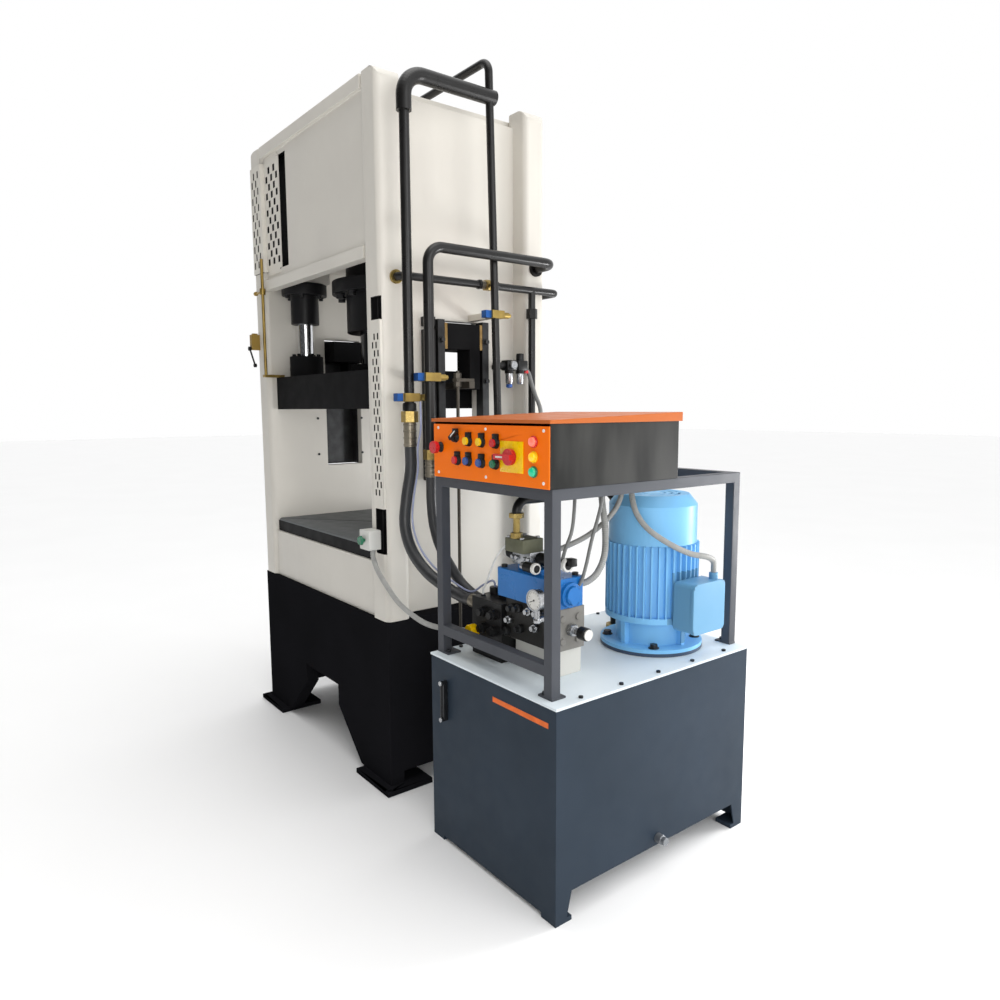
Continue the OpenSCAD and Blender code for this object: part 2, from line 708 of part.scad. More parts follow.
module slide_platen() color("#1f1f21") {
    shoe_lap = 60;
    arm_d = 50;
    arm_drop = 75;
    ram_foot_d = ram_d + 90;
    span([-slide_hx, -slide_hy, slide_z], [slide_hx, slide_hy, slide_z1]);
    difference() {
        union() {
            for (p = side_spots) translate([p.x, p.y, slide_z1 - eps]) cylinder(d = boss_d,
                h = boss_h + eps);
            translate([0, 0, slide_z1 - eps]) cylinder(d = ram_foot_d, h = 45);
        }
        for (p = side_spots) translate([p.x, p.y, slide_z1 + 20]) cylinder(d = rod_d + 2 * seam,
            h = boss_h);
        translate([0, 0, slide_z1 + 10]) cylinder(d = ram_d + 2 * seam, h = 60);
    }
    // Guide shoes on their arms, which run in the side windows
    for (s = [-1, 1]) {
        span([s > 0 ? slide_hx - eps : -shoe_ox, shoe_hy - arm_d, slide_z1 - arm_drop],
            [s > 0 ? shoe_ox : -slide_hx + eps, shoe_hy, shoe_z + eps]);
        span([s > 0 ? slide_hx - shoe_lap : -shoe_ox, -shoe_hy, shoe_z],
            [s > 0 ? shoe_ox : -slide_hx + shoe_lap, shoe_hy, shoe_z + shoe_h]);
    }
    // Caps over the rod bosses' bolts
    for (p = side_spots, k = [0 : 5]) translate([p.x, p.y, slide_z1 + boss_h - eps]) rotate([0, 0, 60 * k])
        translate([(boss_d + rod_d) / 4, 0, 0]) cylinder(d = 18, h = 12);
}

module guide_liners() color("#b08d57") for (x = [-1, 1], y = [-1, 1]) {
    translate([x * (side_ox + shoe_ox) / 2, y * (shoe_hy + liner_t / 2), shoe_z + shoe_h / 2])
        cube([shoe_ox - side_ox, liner_t, shoe_h], center = true);
}

module rams() color("#d5d7da") {
    translate([0, 0, slide_z1 + 10]) cylinder(d = ram_d, h = ram_top - slide_z1 - 10);
    for (p = side_spots) translate([p.x, p.y, slide_z1 + 20]) cylinder(d = rod_d,
        h = main_top - 150 - slide_z1);
}

module trip_rods() color("#b59a4c") {
    rod_x = -slide_hx + 12;
    rod_y = -hy - 15;
    // Front rod on its arm, with the dog that meets the limit switch
    span([rod_x - 10, rod_y - 12, slide_z1], [rod_x + 18, -slide_hy + 30, slide_z1 + 12]);
    translate([rod_x, rod_y, slide_z1]) cylinder(d = 14, h = 542);
    translate([rod_x, rod_y, slide_z1 + 380]) cylinder(d = 26, h = 28);
    bar([rod_x, rod_y, slide_z1 + 394], [-hx + 56, rod_y, slide_z1 + 394], 9);
    bar([-hx + 60, rod_y, slide_z1 + 394], [-hx + 46, rod_y, slide_z1 + 394], 20);
    // Side rod that hangs from the slide through the right window
    hang_y = -guide_y - 23;
    hang_z = slide_z + 75;
    hang_z0 = base_h - 68;
    span([slide_hx, -guide_y + 20, hang_z], [pipe_x + 16, -guide_y + 45, hang_z + 25 + eps]);
    span([pipe_x - 14, hang_y - 14, hang_z + 25], [pipe_x + 14, -guide_y + 45, hang_z + 37]);
    translate([pipe_x, hang_y, hang_z0]) cylinder(d = 13, h = hang_z + 65 - hang_z0);
    for (z = [hang_z + 37, hang_z + 5]) translate([pipe_x, hang_y, z]) hex(26, 20);
}

// Switches on the press

switch_size = [28, 40, 72];
switch_rise = 169;
switch_at = [-hx + 26, -hy - switch_size.y / 2, slide_z1 + switch_rise];
station_x = 537;

module switch_boxes() {
    // Limit switch beside the front rod
    color("#9a8240") translate(switch_at) {
        cube(switch_size, center = true);
        translate([0, 0, switch_size.z / 2 + 3]) cube([18, 24, 6 + 2 * eps], center = true);
    }
    // Push-button station on the right post
    color("#e8e6e0") difference() {
        translate([station_x, -hy - 25, station_z]) rotate([90, 0, 0])
            linear_extrude(50, center = true) round_rect(74, 74, 5);
        translate([station_x, -hy - 51, station_z]) rotate([-90, 0, 0])
            cylinder(d = stem_d + 2 * cap_fit, h = 40);
    }
}

module switch_lever() color("#1c1c1c") {
    pivot = [switch_at.x, switch_at.y - 20.5, switch_at.z - 30];
    tip = pivot + [62, 0, -82];
    translate(pivot) rotate([90, 0, 0]) cylinder(d = 20, h = 12);
    translate([0, -6, 0]) bar(pivot, tip, 8);
    translate(tip) rotate([90, 0, 0]) cylinder(d = 18, h = 12);
}

module start_button() color("#1f7a4c") translate([station_x, -hy - 50.5, station_z]) rotate([90, 0, 0]) {
    translate([0, 0, -30]) cylinder(d = stem_d, h = 38);
    translate([0, 0, 6]) cylinder(d = 22, h = 8);
    translate([0, 0, 12]) cylinder(d1 = 36, d2 = 30, h = 10, $fn = 48);
}

// Pipework on the right side

feed_z = pilot_top + 118;
feed_top = [pipe_x, 43, header_z + 80];
feed_low = [pipe_x, 80, feed_z + 134];
stack_port = [1250, -285];

module main_pipework() color("#26272a") {
    bend_r = 78;
    over_z = header_z + 130;
    riser_z1 = header_z - 130;
    bar([pipe_x, riser_y, riser_z0], [pipe_x, riser_y, riser_z1 - seam], riser_d);
    pipe([[pipe_x, riser_y, riser_z1], [pipe_x, riser_y, header_z], [pipe_x, feed_top.y + 24,
        header_z]],
        bend_r, header_d);
    bar(feed_low, feed_top, feed_d);
    translate(feed_low) sphere(d = feed_d);
    translate(feed_top) sphere(d = feed_d);
    pipe([feed_top, [feed_top.x, feed_top.y, over_z], [0, feed_top.y, over_z]], 45, feed_d);
    pipe([[60, feed_top.y, over_z], [0, feed_top.y, over_z], [0, 0, over_z]], 21, feed_d);
    pipe([[0, 20, over_z], [0, 0, over_z], [0, 0, main_top]], 18, feed_d);
    pipe([feed_low, [feed_low.x, feed_low.y, feed_z], [stack_port.x, feed_low.y, feed_z]], 60, feed_d);
    pipe([[stack_port.x - 80, feed_low.y, feed_z], [stack_port.x, feed_low.y, feed_z],
        [stack_port.x, stack_port.y, feed_z], [stack_port.x, stack_port.y, feed_z - 40]], 38, feed_d);
    translate([0, 0, crown_top]) cylinder(d = 96, h = 18);
}

return_bend = 60;

module return_pipe() color("#242528") {
    pipe([[return_x, return_y, return_z0], [return_x, return_y, return_z], [return_x, hy - post_d / 2,
        return_z],
        [hx, hy - post_d / 2, return_z]], return_bend, return_d);
}

drop_at = [1130, 285];
drop_rise = 510;
drop_run_z = tank_h + drop_rise;

module pilot_pipe() color("#242528") {
    back_y = hy + 32;
    port_y = side_y + side_d / 2;
    pipe([[hx, riser_y, pilot_z], [pilot_x, riser_y, pilot_z], [pilot_x, back_y, pilot_z],
        [side_x, back_y, pilot_z], [side_x, port_y, pilot_z]], 30, pilot_d);
    pipe([[pilot_x, drop_at.y, pilot_z], [pilot_x, drop_at.y, drop_run_z], [drop_at.x, drop_at.y,
        drop_run_z],
        [drop_at.x, drop_at.y, tank_h]], 60, pilot_d);
}

// A hexagon nut with a round hole, along +Z
module nut(flats, h, hole) difference() {
    hex(flats, h);
    translate([0, 0, -1]) cylinder(d = hole, h = h + 2);
}

// A round sleeve, along +Z
module sleeve(d, h, hole) difference() {
    cylinder(d = d, h = h);
    translate([0, 0, -1]) cylinder(d = hole, h = h + 2);
}

module pipe_fittings() color("#b8963e") {
    // Ends of the two hoses on the press
    translate([pipe_x, riser_y, riser_z0 - 4]) nut(54, 40, riser_d + 2 * seam);
    translate([pipe_x, riser_y, riser_z0 - 2 - front_tail_l]) cylinder(d = 46, h = front_tail_l);
    translate([return_x, return_y, return_z0 - 4]) nut(50, 36, return_d + 2 * seam);
    translate([return_x, return_y, return_z0 - 2 - rear_tail_l]) cylinder(d = 42, h = rear_tail_l);
    // Ends of the two hoses and of the station's conduit on the port block
    for (p = hose_ports) translate([port_lo.x - hose_tail_l, port_lo.y + p.x, port_lo.z + p.y])
        rotate([0, 90, 0]) cylinder(d = p.z, h = hose_tail_l);
    translate([port_lo.x - gland_l, port_lo.y + station_gland.x, port_lo.z + station_gland.y])
        rotate([0, 90, 0]) hex(30, gland_l);
    // Gland on the front post, union on the pilot pipe, nut over the valve stack
    translate([hx, riser_y, pilot_z]) rotate([0, 90, 0]) sleeve(50, 10, pilot_d + 2 * seam);
    translate([pilot_x, 46, pilot_z]) rotate([-90, 0, 0]) nut(38, 40, pilot_d + 2 * seam);
    translate([hx, hy - post_d / 2, return_z]) rotate([0, 90, 0]) sleeve(64, 12, return_d + 2 * seam);
    translate([stack_port.x, stack_port.y, feed_z - 54]) nut(42, 15, feed_d + 2 * seam);
    translate([stack_port.x, stack_port.y, pilot_top]) {
        hex(34, 18);
        cylinder(d = 22, h = feed_z - 41 - pilot_top);
        translate([0, 0, feed_z - 55 - pilot_top]) cylinder(d = 34, h = 14);
    }
    translate([drop_at.x, drop_at.y, tank_h]) sleeve(60, 14, pilot_d + 2 * seam);
    translate([pilot_x, drop_at.y, pilot_z - 113]) nut(40, 40, pilot_d + 2 * seam);
    // Glands of the conduits under the cabinet
    for (p = [motor_route[0], valve_upper_route[0], valve_lower_route[0]])
        translate([p.x, p.y, box_z0 - cabinet_gland_l]) hex(30, cabinet_gland_l);
}

// A clamp on a vertical pipe at [x, y, z], carried from the face at x0
module clamp(x0, at, d) {
    jaw = [d + 16, d + 26, 30];
    cap = [30, 26, 28];
    color("#2f5fa8") translate([at.x - cap.x / 2, at.y - jaw.y / 2 - cap.y, at.z - cap.z / 2])
        cube([cap.x, cap.y + eps, cap.z]);
    color("#b8963e") {
        difference() {
            translate(at) cube(jaw, center = true);
            translate([at.x, at.y, at.z - 20]) cylinder(d = d + 2 * seam, h = 40);
        }
        span([x0, at.y - 15, at.z - 12], [at.x - jaw.x / 2, at.y + 15, at.z + 12]);
        translate([at.x, at.y + jaw.y / 2, at.z]) rotate([-90, 0, 0]) cylinder(d = 24, h = 34);
        translate([at.x, at.y + jaw.y / 2 + 34, at.z]) rotate([-90, 0, 0]) hex(16, 10);
    }
}

riser_clamp_z = riser_z0 + 85;
return_clamp_z = return_z0 + 0.423 * (return_z - return_bend - return_z0);
feed_clamp_z = window_z1 + 16;
feed_clamp_y = feed_low.y + (feed_top.y - feed_low.y) * (feed_clamp_z - feed_low.z)
    / (feed_top.z - feed_low.z);

module pipe_clamps() {
    clamp(hx, [pipe_x, riser_y, riser_clamp_z], riser_d);
    clamp(side_ox, [return_x, return_y, return_clamp_z], return_d);
    clamp(side_ox, [pipe_x, feed_clamp_y, feed_clamp_z], feed_d + 2);
}

module air_unit() color("#3a3b3d") {
    unit_at = [656, 190, pilot_z - 303];
    span([side_ox, unit_at.y - 20, unit_at.z - 10], [unit_at.x - 22, unit_at.y + 20, unit_at.z + 10]);
    translate(unit_at) {
        cube([44, 110, 44], center = true);
        for (y = [-28, 28]) translate([0, y, -22 + eps]) rotate([180, 0, 0]) {
            cylinder(d = 36, h = 16);
            translate([0, 0, 16 - eps]) cylinder(d = 30, h = 52);
        }
        translate([0, 28, 22 - eps]) cylinder(d = 32, h = 30);
        translate([22 - eps, -28, 0]) rotate([0, 90, 0]) cylinder(d = 34, h = 14);
        translate([0, -55 + eps, 0]) rotate([90, 0, 0]) cylinder(d = 22, h = 34);
    }
}

// Power pack

module oil_tank() color("#33373f") {
    leg_w = 63;
    apron_z = 14;
    difference() {
        span([tank_x0, tank_y0, tank_floor], [tank_x1, tank_y1, lid_z]);
        span([tank_x0 + tank_wall, tank_y0 + tank_wall, tank_floor + tank_wall],
            [tank_x1 - tank_wall, tank_y1 - tank_wall, lid_z + 1]);
    }
    for (y = [tank_y0, tank_y1 - tank_wall])
        span([tank_x0, y, apron_z - eps], [tank_x1, y + tank_wall, tank_floor + eps]);
    for (x = [tank_x0, tank_x1 - tank_wall], s = [-1, 1])
        translate([x, s < 0 ? tank_y0 : tank_y1, 0]) rotate([90, 0, 90]) linear_extrude(tank_wall)
            polygon([[0, apron_z - eps], [-s * leg_w * 0.7, apron_z - eps], [-s * leg_w, tank_floor + eps],
                [0, tank_floor + eps]]);
    for (x = [tank_x0, tank_x1 - leg_w], y = [tank_y0, tank_y1 - leg_w])
        span([x, y, 0], [x + leg_w, y + leg_w, apron_z]);
}

module tank_lid() color("#b9c4cc") difference() {
    span([tank_x0 - lid_over, tank_y0 - lid_over, lid_z], [tank_x1 + lid_over, tank_y1 + lid_over, tank_h]);
    translate([motor_x, motor_y, lid_z - 1]) cylinder(d = 120, h = lid_t + 2);
}

module tank_fittings() color("#8f9396") {
    screw_in = 18;
    // Lid screws along both sides
    for (x = [tank_x0 + screw_in, tank_x1 - screw_in], k = [0 : 4])
        translate([x, tank_y0 + 110 + k * (tank_d - 220) / 4, tank_h]) cylinder(d = 14, h = 6);
    // Base plate bolts of the pack frame
    for (x = [frame_x0 + tube + 12, frame_x1 - tube - 12], y = [frame_y0 + 14, frame_y1 - 14])
        translate([x, y, tank_h + plate_t]) hex(13, 8);
    // Motor flange bolts
    for (k = [0 : 3]) translate([motor_x, motor_y, tank_h + flange_t]) rotate([0, 0, 90 * k + 45])
        translate([flange_d / 2 - 25, 0, 0]) bolt_head(24, 14);
    // Sight gauge on the front wall
    gauge_x = tank_x0 + 88;
    gauge_z = [lid_z - 198, lid_z - 73];
    for (z = gauge_z) translate([gauge_x, tank_y0, z]) rotate([90, 0, 0]) {
        cylinder(d = 14, h = 20);
        translate([0, 0, 20 - eps]) hex(13, 6);
    }
    span([gauge_x - 12, tank_y0 - 18, gauge_z[0]], [gauge_x + 12, tank_y0 - 4, gauge_z[1]]);
    // Drain stub with its plug on the right wall
    translate([tank_x1, 21, tank_floor + 25]) rotate([0, 90, 0]) {
        cylinder(d = 30, h = 22);
        translate([0, 0, 22 - eps]) hex(24, 14);
    }
}

module pack_frame() color("#3b3d40") {
    x_posts = [frame_x0, frame_x1 - tube];
    y_posts = [frame_y0, frame_y1 - tube];
    for (x = x_posts, y = y_posts) {
        span([x, y, tank_h + plate_t - eps], [x + tube, y + tube, ring_z + eps]);
        span([x - (x > frame_x0 ? 26 : 2), y, tank_h],
            [x + tube + (x > frame_x0 ? 2 : 26), y + tube + (y > frame_y0 ? 0 : 20), tank_h + plate_t]);
    }
    for (y = y_posts) {
        span([frame_x0, y, ring_z], [frame_x1, y + tube, frame_z1]);
        span([frame_x0 + tube - eps, y, rail_z], [frame_x1 - tube + eps, y + tube, rail_z + tube]);
    }
    for (x = x_posts) span([x, frame_y0 + tube - eps, ring_z], [x + tube, frame_y1 - tube + eps, frame_z1]);
}

// Motor

motor_pad = [108, 140];
pad_x = motor_x + fin_d / 2 - 4;
pad_z0 = tank_h + 100;
rotor_z0 = tank_h - 150;

module motor_body() color("#7fb3de") difference() {
    union() {
        translate([motor_x, motor_y, 0]) {
            translate([0, 0, tank_h]) cylinder(d = flange_d, h = flange_t);
            translate([0, 0, tank_h + flange_t - eps])
                cylinder(d = barrel_d - 40, h = barrel_z0 - tank_h - flange_t + 2 * eps);
            translate([0, 0, barrel_z0 - 20]) cylinder(d = fin_d, h = 20 + eps);
            translate([0, 0, barrel_z0]) cylinder(d = barrel_d, h = barrel_z1 - barrel_z0);
            for (k = [0 : fin_n - 1]) rotate([0, 0, (k + 0.5) * 360 / fin_n])
                translate([barrel_d / 2 - 4, -fin_t / 2, barrel_z0])
                    cube([(fin_d - barrel_d) / 2 + 4, fin_t, barrel_z1 - barrel_z0]);
            for (k = [0 : 3]) rotate([0, 0, 90 * k]) translate([barrel_d / 2 - 60, -9,
                tank_h + flange_t - eps])
                cube([60, 18, barrel_z0 - tank_h - flange_t - 20 + 2 * eps]);
        }
        span([motor_x + 100, motor_y - motor_pad.x / 2, pad_z0],
            [pad_x, motor_y + motor_pad.x / 2, pad_z0 + motor_pad.y]);
    }
    span([pad_x, motor_y - 90, pad_z0 - 14], [pad_x + 60, motor_y + 92, pad_z0 + motor_pad.y + 18]);
    translate([motor_x, motor_y, 0]) {
        translate([0, 0, tank_h - 1]) cylinder(d = shaft_d + 2 * shaft_fit, h = barrel_z1 - tank_h + 2);
        translate([0, 0, barrel_z0 + 10]) cylinder(d = 182, h = barrel_z1 - barrel_z0 - 30);
    }
}

module fan_cover() color("#8abbe4") translate([motor_x, motor_y, 0]) {
    r = fan_cover_d / 2;
    h = fan_cover_z1 - barrel_z1;
    skin = 3;
    difference() {
        rotate_extrude() polygon([[0, fan_cover_z1 - skin], [r - 29, fan_cover_z1 - skin], [r - skin,
            fan_cover_z1 - 36],
            [r - skin, barrel_z1], [r, barrel_z1], [r, fan_cover_z1 - 35], [r - 28, fan_cover_z1], [0,
                fan_cover_z1]]);
        for (ring_r = [36, 60, 84], k = [0 : 5]) rotate([0, 0, 60 * k]) translate([0, 0,
            fan_cover_z1 - h / 2])
            rotate_extrude(angle = 46) translate([ring_r, 0]) square([8, h]);
    }
}

core_d = 178;
core_gap = 40;

module motor_rotor() color("#9da1a6") translate([motor_x, motor_y, 0]) {
    fan_z = barrel_z1 + 35;
    translate([0, 0, rotor_z0]) cylinder(d = shaft_d, h = fan_z + 60 - rotor_z0);
    translate([0, 0, barrel_z0 + 15]) cylinder(d = core_d, h = barrel_z1 - barrel_z0 - core_gap);
    translate([0, 0, fan_z]) cylinder(d = 80, h = 55);
    for (k = [0 : 6]) rotate([0, 0, 360 / 7 * k]) translate([30, -2, fan_z]) cube([88, 4, 50]);
}

module terminal_box() color("#86b8e2") {
    box = [84, 160, 164];
    cover_w = 12;
    translate([pad_x, motor_y - box.y / 2 + 8, pad_z0 - 10]) {
        translate([0, box.y / 2, box.z / 2]) rotate([0, 90, 0])
            linear_extrude(box.x - cover_w + eps) round_rect(box.z, box.y, 16);
        translate([box.x - cover_w, box.y / 2, box.z / 2]) rotate([0, 90, 0])
            linear_extrude(cover_w) round_rect(box.z + 4, box.y + 4, 18);
        translate([54, 138, box.z - eps]) cylinder(d = 30, h = terminal_gland_l + eps);
    }
}

bell_drop = 172;
bell_flange_d = 190;

module pump() color("#5d6166") translate([motor_x, motor_y, 0]) difference() {
    bell_z = lid_z - bell_drop;
    union() {
        translate([0, 0, lid_z - 14]) cylinder(d = bell_flange_d, h = 14);
        translate([0, 0, bell_z]) cylinder(d = 130, h = lid_z - bell_z);
        translate([0, 0, bell_z - 140]) cylinder(d = 170, h = 150);
        translate([60, -30, bell_z - 230]) cube([60, 60, 100]);
    }
    translate([0, 0, rotor_z0 - 1]) cylinder(d = shaft_d + 2 * shaft_fit, h = lid_z - rotor_z0 + 2);
}

// Valves

module manifold() color("#a9abad") {
    translate(plinth_lo) cube(plinth_size);
    translate(block_lo - [0, 0, eps]) cube(block_size + [0, 0, eps]);
    // Screw plugs in the block's right face
    for (y = [28, 92], z = [30, 100])
        translate(block_lo + [block_size.x - eps, y, z]) rotate([0, 90, 0]) hex(20, 6);
}

module control_valve() color("#1f62b5") {
    c = valve_lo + valve_size / 2;
    translate([c.x, c.y, valve_lo.z]) linear_extrude(valve_size.z) round_rect(valve_size.x,
        valve_size.y, 14);
    for (s = [-1, 1]) translate([c.x + s * (valve_size.x / 2 - eps), c.y, c.z - 4]) rotate([0, s * 90, 0]) {
        cylinder(d = 76, h = 14);
        translate([0, 0, 14 - eps]) cylinder(d = 58, h = 12);
    }
    translate([c.x, c.y, stack_z - eps]) linear_extrude(valve_cap_t + eps) round_rect(120, 80, 8);
}

module pilot_valves() color("#2b2c2a") {
    cx = stack_port.x;
    span([cx - 45, -268, pilot_z0], [cx + 45, -190, pilot_z0 + 44]);
    for (s = [-1, 1]) translate([cx + s * (45 - eps), -228, pilot_z0 + 22]) rotate([0, s * 90, 0]) {
        cylinder(d = 40, h = 62);
        translate([0, 0, 62 - eps]) cylinder(d = 28, h = 16);
    }
    span([cx - 42, -300, pilot_z0 + 44 - eps], [cx + 48, -215, pilot_top]);
    span([cx - 54, -282, pilot_z0 + 50], [cx - 42 + eps, -242, pilot_z0 + 80]);
}

module port_block() color("#1d1e20") {
    difference() {
        translate(port_lo) cube(port_size);
        translate([knob_at.x, port_lo.y - 1, knob_at.z]) rotate([-90, 0, 0])
            cylinder(d = stem_d + 2 * cap_fit, h = 60);
    }
    for (x = [70, 125], z = [45, 100, 155])
        translate([port_lo.x + x, port_lo.y + eps, port_lo.z + z]) rotate([90, 0, 0]) {
        cylinder(d = 34, h = 18);
        translate([0, 0, 18 - eps]) hex(24, 10);
    }
    for (x = [30, 80])
        translate([port_lo.x + x, port_lo.y + 74, port_lo.z + port_size.z - eps]) cylinder(d = 36, h = 24);
    translate([lead_route[6].x, lead_route[6].y, port_lo.z + port_size.z - eps]) cylinder(d = 16,
        h = 4 + eps);
}

module gauges() color("#c9cbcc") {
    // Pressure gauge in front of the control valve
    gauge_at = [1400, valve_lo.y - 26, valve_lo.z + 38];
    translate(gauge_at) rotate([90, 0, 0]) {
        cylinder(d = 62, h = 24);
        translate([0, 0, 24 - eps]) difference() {
            cylinder(d = 64, h = 5);
            translate([0, 0, 2]) cylinder(d = 56, h = 5);
        }
    }
    translate(gauge_at + [0, eps, 0]) rotate([-90, 0, 0]) cylinder(d = 16, h = 26 - eps);
    // Pressure adjuster on the manifold's right face
    translate(block_lo + [block_size.x, 60, 64]) rotate([0, 90, 0]) {
        hex(34, 22);
        translate([0, 0, 22 - eps]) cylinder(d = 22, h = 24);
        translate([0, 0, 46 - 2 * eps]) cylinder(d = 40, h = 30);
        translate([0, 0, 76 - 3 * eps]) cylinder(d = 34, h = 5);
    }
}

module relief_knob() color("#e8c800") translate(knob_at) rotate([90, 0, 0]) {
    translate([0, 0, -40]) cylinder(d = stem_d, h = 52);
    translate([0, 0, 10]) cylinder(d = 44, h = 30);
    for (k = [0 : 11]) rotate([0, 0, 30 * k]) translate([22, 0, 12]) cylinder(d = 5, h = 26);
}

// Control cabinet

// The box is made of plates, with its contactors on a rail
module cabinet_box() color("#2d2f30") {
    in_x0 = box_x0 + box_t + seam;
    in_x1 = box_x1 - box_t - seam;
    back_y = box_y0 + box_d - box_t;
    rail_y = 40;
    for (x = [box_x0, box_x1 - box_t])
        span([x, box_y0, box_z0], [x + box_t, box_y0 + box_d, box_z1]);
    span([in_x0, back_y, box_z0], [in_x1, back_y + box_t, box_z1]);
    span([in_x0, box_y0, box_z0], [in_x1, back_y - seam, box_z0 + box_t]);
    span([in_x0, rail_y, box_z0 + 70], [in_x1, rail_y + 8, box_z0 + 105]);
    for (k = [0 : 5])
        span([box_x0 + 60 + k * 75, -40, box_z0 + 50],
            [box_x0 + 105 + k * 75, rail_y - seam, box_z0 + 125]);
}

// The lid's wedge, smaller by in on its sides and lower by drop
module lid_wedge(in, drop) {
    y0 = box_y0 - box_lid_over + in;
    y1 = box_y0 + box_d + box_lid_over - in;
    z0 = box_z1 - drop;
    translate([box_x0 - box_lid_over + in, 0, 0]) rotate([90, 0, 90])
        linear_extrude(box_w + 2 * (box_lid_over - in))
            polygon([[y0, z0], [y1, z0], [y1, z0 + box_lid_h + box_lid_rise], [y0, z0 + box_lid_h]]);
}

module cabinet_lid() color("#f08028") difference() {
    lid_wedge(0, 0);
    lid_wedge(box_lid_over + 2 * box_t, box_t);
}

// A place on the panel's face, with +Z out of the panel
module on_panel(p) translate([box_x0 + p.x, panel_y, box_z0 + p.y]) rotate([90, 0, 0]) children();

module cabinet_panel() color("#ee7a22") difference() {
    span([box_x0, panel_y, box_z0], [box_x1, box_y0, box_z1 - panel_gap]);
    for (p = concat(caps, [e_stop_at, selector_at, isolator_at]))
        on_panel(p) translate([0, 0, -panel_t - 1]) cylinder(d = stem_d + 2 * cap_fit, h = panel_t + 2);
}

module panel_fittings() {
    color("#1a1a1a") for (p = concat(caps, [e_stop_at, selector_at]))
        on_panel(p) sleeve(bezel_d, bezel_l, cap_d + 2 * cap_fit);
    color("#f2c200") on_panel(isolator_at) difference() {
        linear_extrude(3) round_rect(isolator_plate.x, isolator_plate.y, 4);
        translate([0, 0, -1]) cylinder(d = stem_d + 2 * cap_fit, h = 5);
    }
    for (i = [0 : 2]) color(["#d8483c", "#f0c020", "#1fa877"][i]) on_panel(lamps[i]) {
        cylinder(d = 32, h = 6);
        translate([0, 0, 6 - eps]) cylinder(d = 25, h = 8);
    }
    color("#c9cbcc") for (x = [28, box_w / 2, box_w - 22], y = [16, box_h - panel_gap - 12])
        on_panel([x, y]) cylinder(d = 10, h = 3);
}

// A stem through the panel under a control's head
module stem(over = 0) translate([0, 0, -25]) cylinder(d = stem_d, h = 25 + bezel_l / 2 + over);

module push_button(i) color(cap_colours[i]) on_panel(caps[i]) {
    stem();
    translate([0, 0, bezel_l / 2]) cylinder(d = cap_d, h = bezel_l / 2 + cap_out);
}

module e_stop() color("#d32f2f") on_panel(e_stop_at) {
    stem(2);
    translate([0, 0, bezel_l / 2 + 1]) cylinder(d = cap_d, h = bezel_l / 2 + 6);
    translate([0, 0, bezel_l + 6]) cylinder(d = e_stop_d, h = 14);
}

module selector() color("#202020") on_panel(selector_at) {
    stem();
    translate([0, 0, bezel_l / 2]) cylinder(d = cap_d, h = bezel_l / 2 + 4);
    rotate([0, 0, 35]) translate([-8, -6, bezel_l + 1]) cube([46, 12, 12]);
}

module isolator() color("#cc2222") on_panel(isolator_at) {
    translate([0, 0, -25]) cylinder(d = stem_d, h = 30);
    translate([0, 0, 4]) cylinder(d = 48, h = 14);
    translate([-52, -8, 12]) cube([76, 16, 18]);
}

module hose_front() color("#1a1a1c") swept(hose_front_route, 42, 12);
module hose_rear() color("#1a1a1c") swept(hose_rear_route, 38, 12);
module motor_conduit() color("#c8c8c6") swept(motor_route, 20, 10, [1, 0, 0]);
module valve_conduit_upper() color("#c8c8c6") swept(valve_upper_route, 18, 10, [1, 0, 0]);
module valve_conduit_lower() color("#c8c8c6") swept(valve_lower_route, 22, 10, [1, 0, 0]);
module station_conduit() color("#a9aaa8") swept(station_route, 20, 10);
module signal_lead() color("#e8e8e8") swept(lead_route, 7, 8);

base_frame();
left_upright();
right_upright();
crown();
bed_box();
bolster();
vent_sheets();
guide_bars();
press_bolts();
main_cylinder();
side_cylinders();
slide_platen();
guide_liners();
rams();
trip_rods();
switch_boxes();
switch_lever();
start_button();
main_pipework();
return_pipe();
pilot_pipe();
pipe_fittings();
pipe_clamps();
air_unit();
oil_tank();
tank_lid();
tank_fittings();
pack_frame();
motor_body();
fan_cover();
motor_rotor();
terminal_box();
pump();
manifold();
control_valve();
pilot_valves();
port_block();
gauges();
relief_knob();
cabinet_box();
cabinet_lid();
cabinet_panel();
panel_fittings();
e_stop();
selector();
isolator();
push_button(0);  // button_1
push_button(1);  // button_2
push_button(2);  // button_3
push_button(3);  // button_4
push_button(4);  // button_5
push_button(5);  // button_6
push_button(6);  // button_7
hose_front();
hose_rear();
motor_conduit();
valve_conduit_upper();
valve_conduit_lower();
station_conduit();
signal_lead();
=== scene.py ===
"""Looks of the hydraulic press and its power pack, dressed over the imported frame."""

import math

import bmesh
import bpy
from mathutils import Matrix, Vector


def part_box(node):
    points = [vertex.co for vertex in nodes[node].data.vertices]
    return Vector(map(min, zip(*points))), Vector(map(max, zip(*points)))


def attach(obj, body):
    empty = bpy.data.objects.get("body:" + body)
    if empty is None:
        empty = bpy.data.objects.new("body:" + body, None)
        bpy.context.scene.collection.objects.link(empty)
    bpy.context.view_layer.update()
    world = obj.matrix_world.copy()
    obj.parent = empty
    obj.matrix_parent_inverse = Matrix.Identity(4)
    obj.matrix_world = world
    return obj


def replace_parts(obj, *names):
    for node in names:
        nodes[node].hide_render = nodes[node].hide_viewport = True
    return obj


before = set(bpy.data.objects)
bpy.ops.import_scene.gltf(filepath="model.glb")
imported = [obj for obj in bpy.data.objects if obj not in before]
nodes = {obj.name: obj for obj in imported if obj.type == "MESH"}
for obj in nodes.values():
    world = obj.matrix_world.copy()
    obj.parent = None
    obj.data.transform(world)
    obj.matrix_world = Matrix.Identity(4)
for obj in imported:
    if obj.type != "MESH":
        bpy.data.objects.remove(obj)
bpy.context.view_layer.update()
scene = bpy.context.scene

MM = 0.001
FULL_TURN = 2 * math.pi
SMOOTH_ANGLE = math.radians(35)

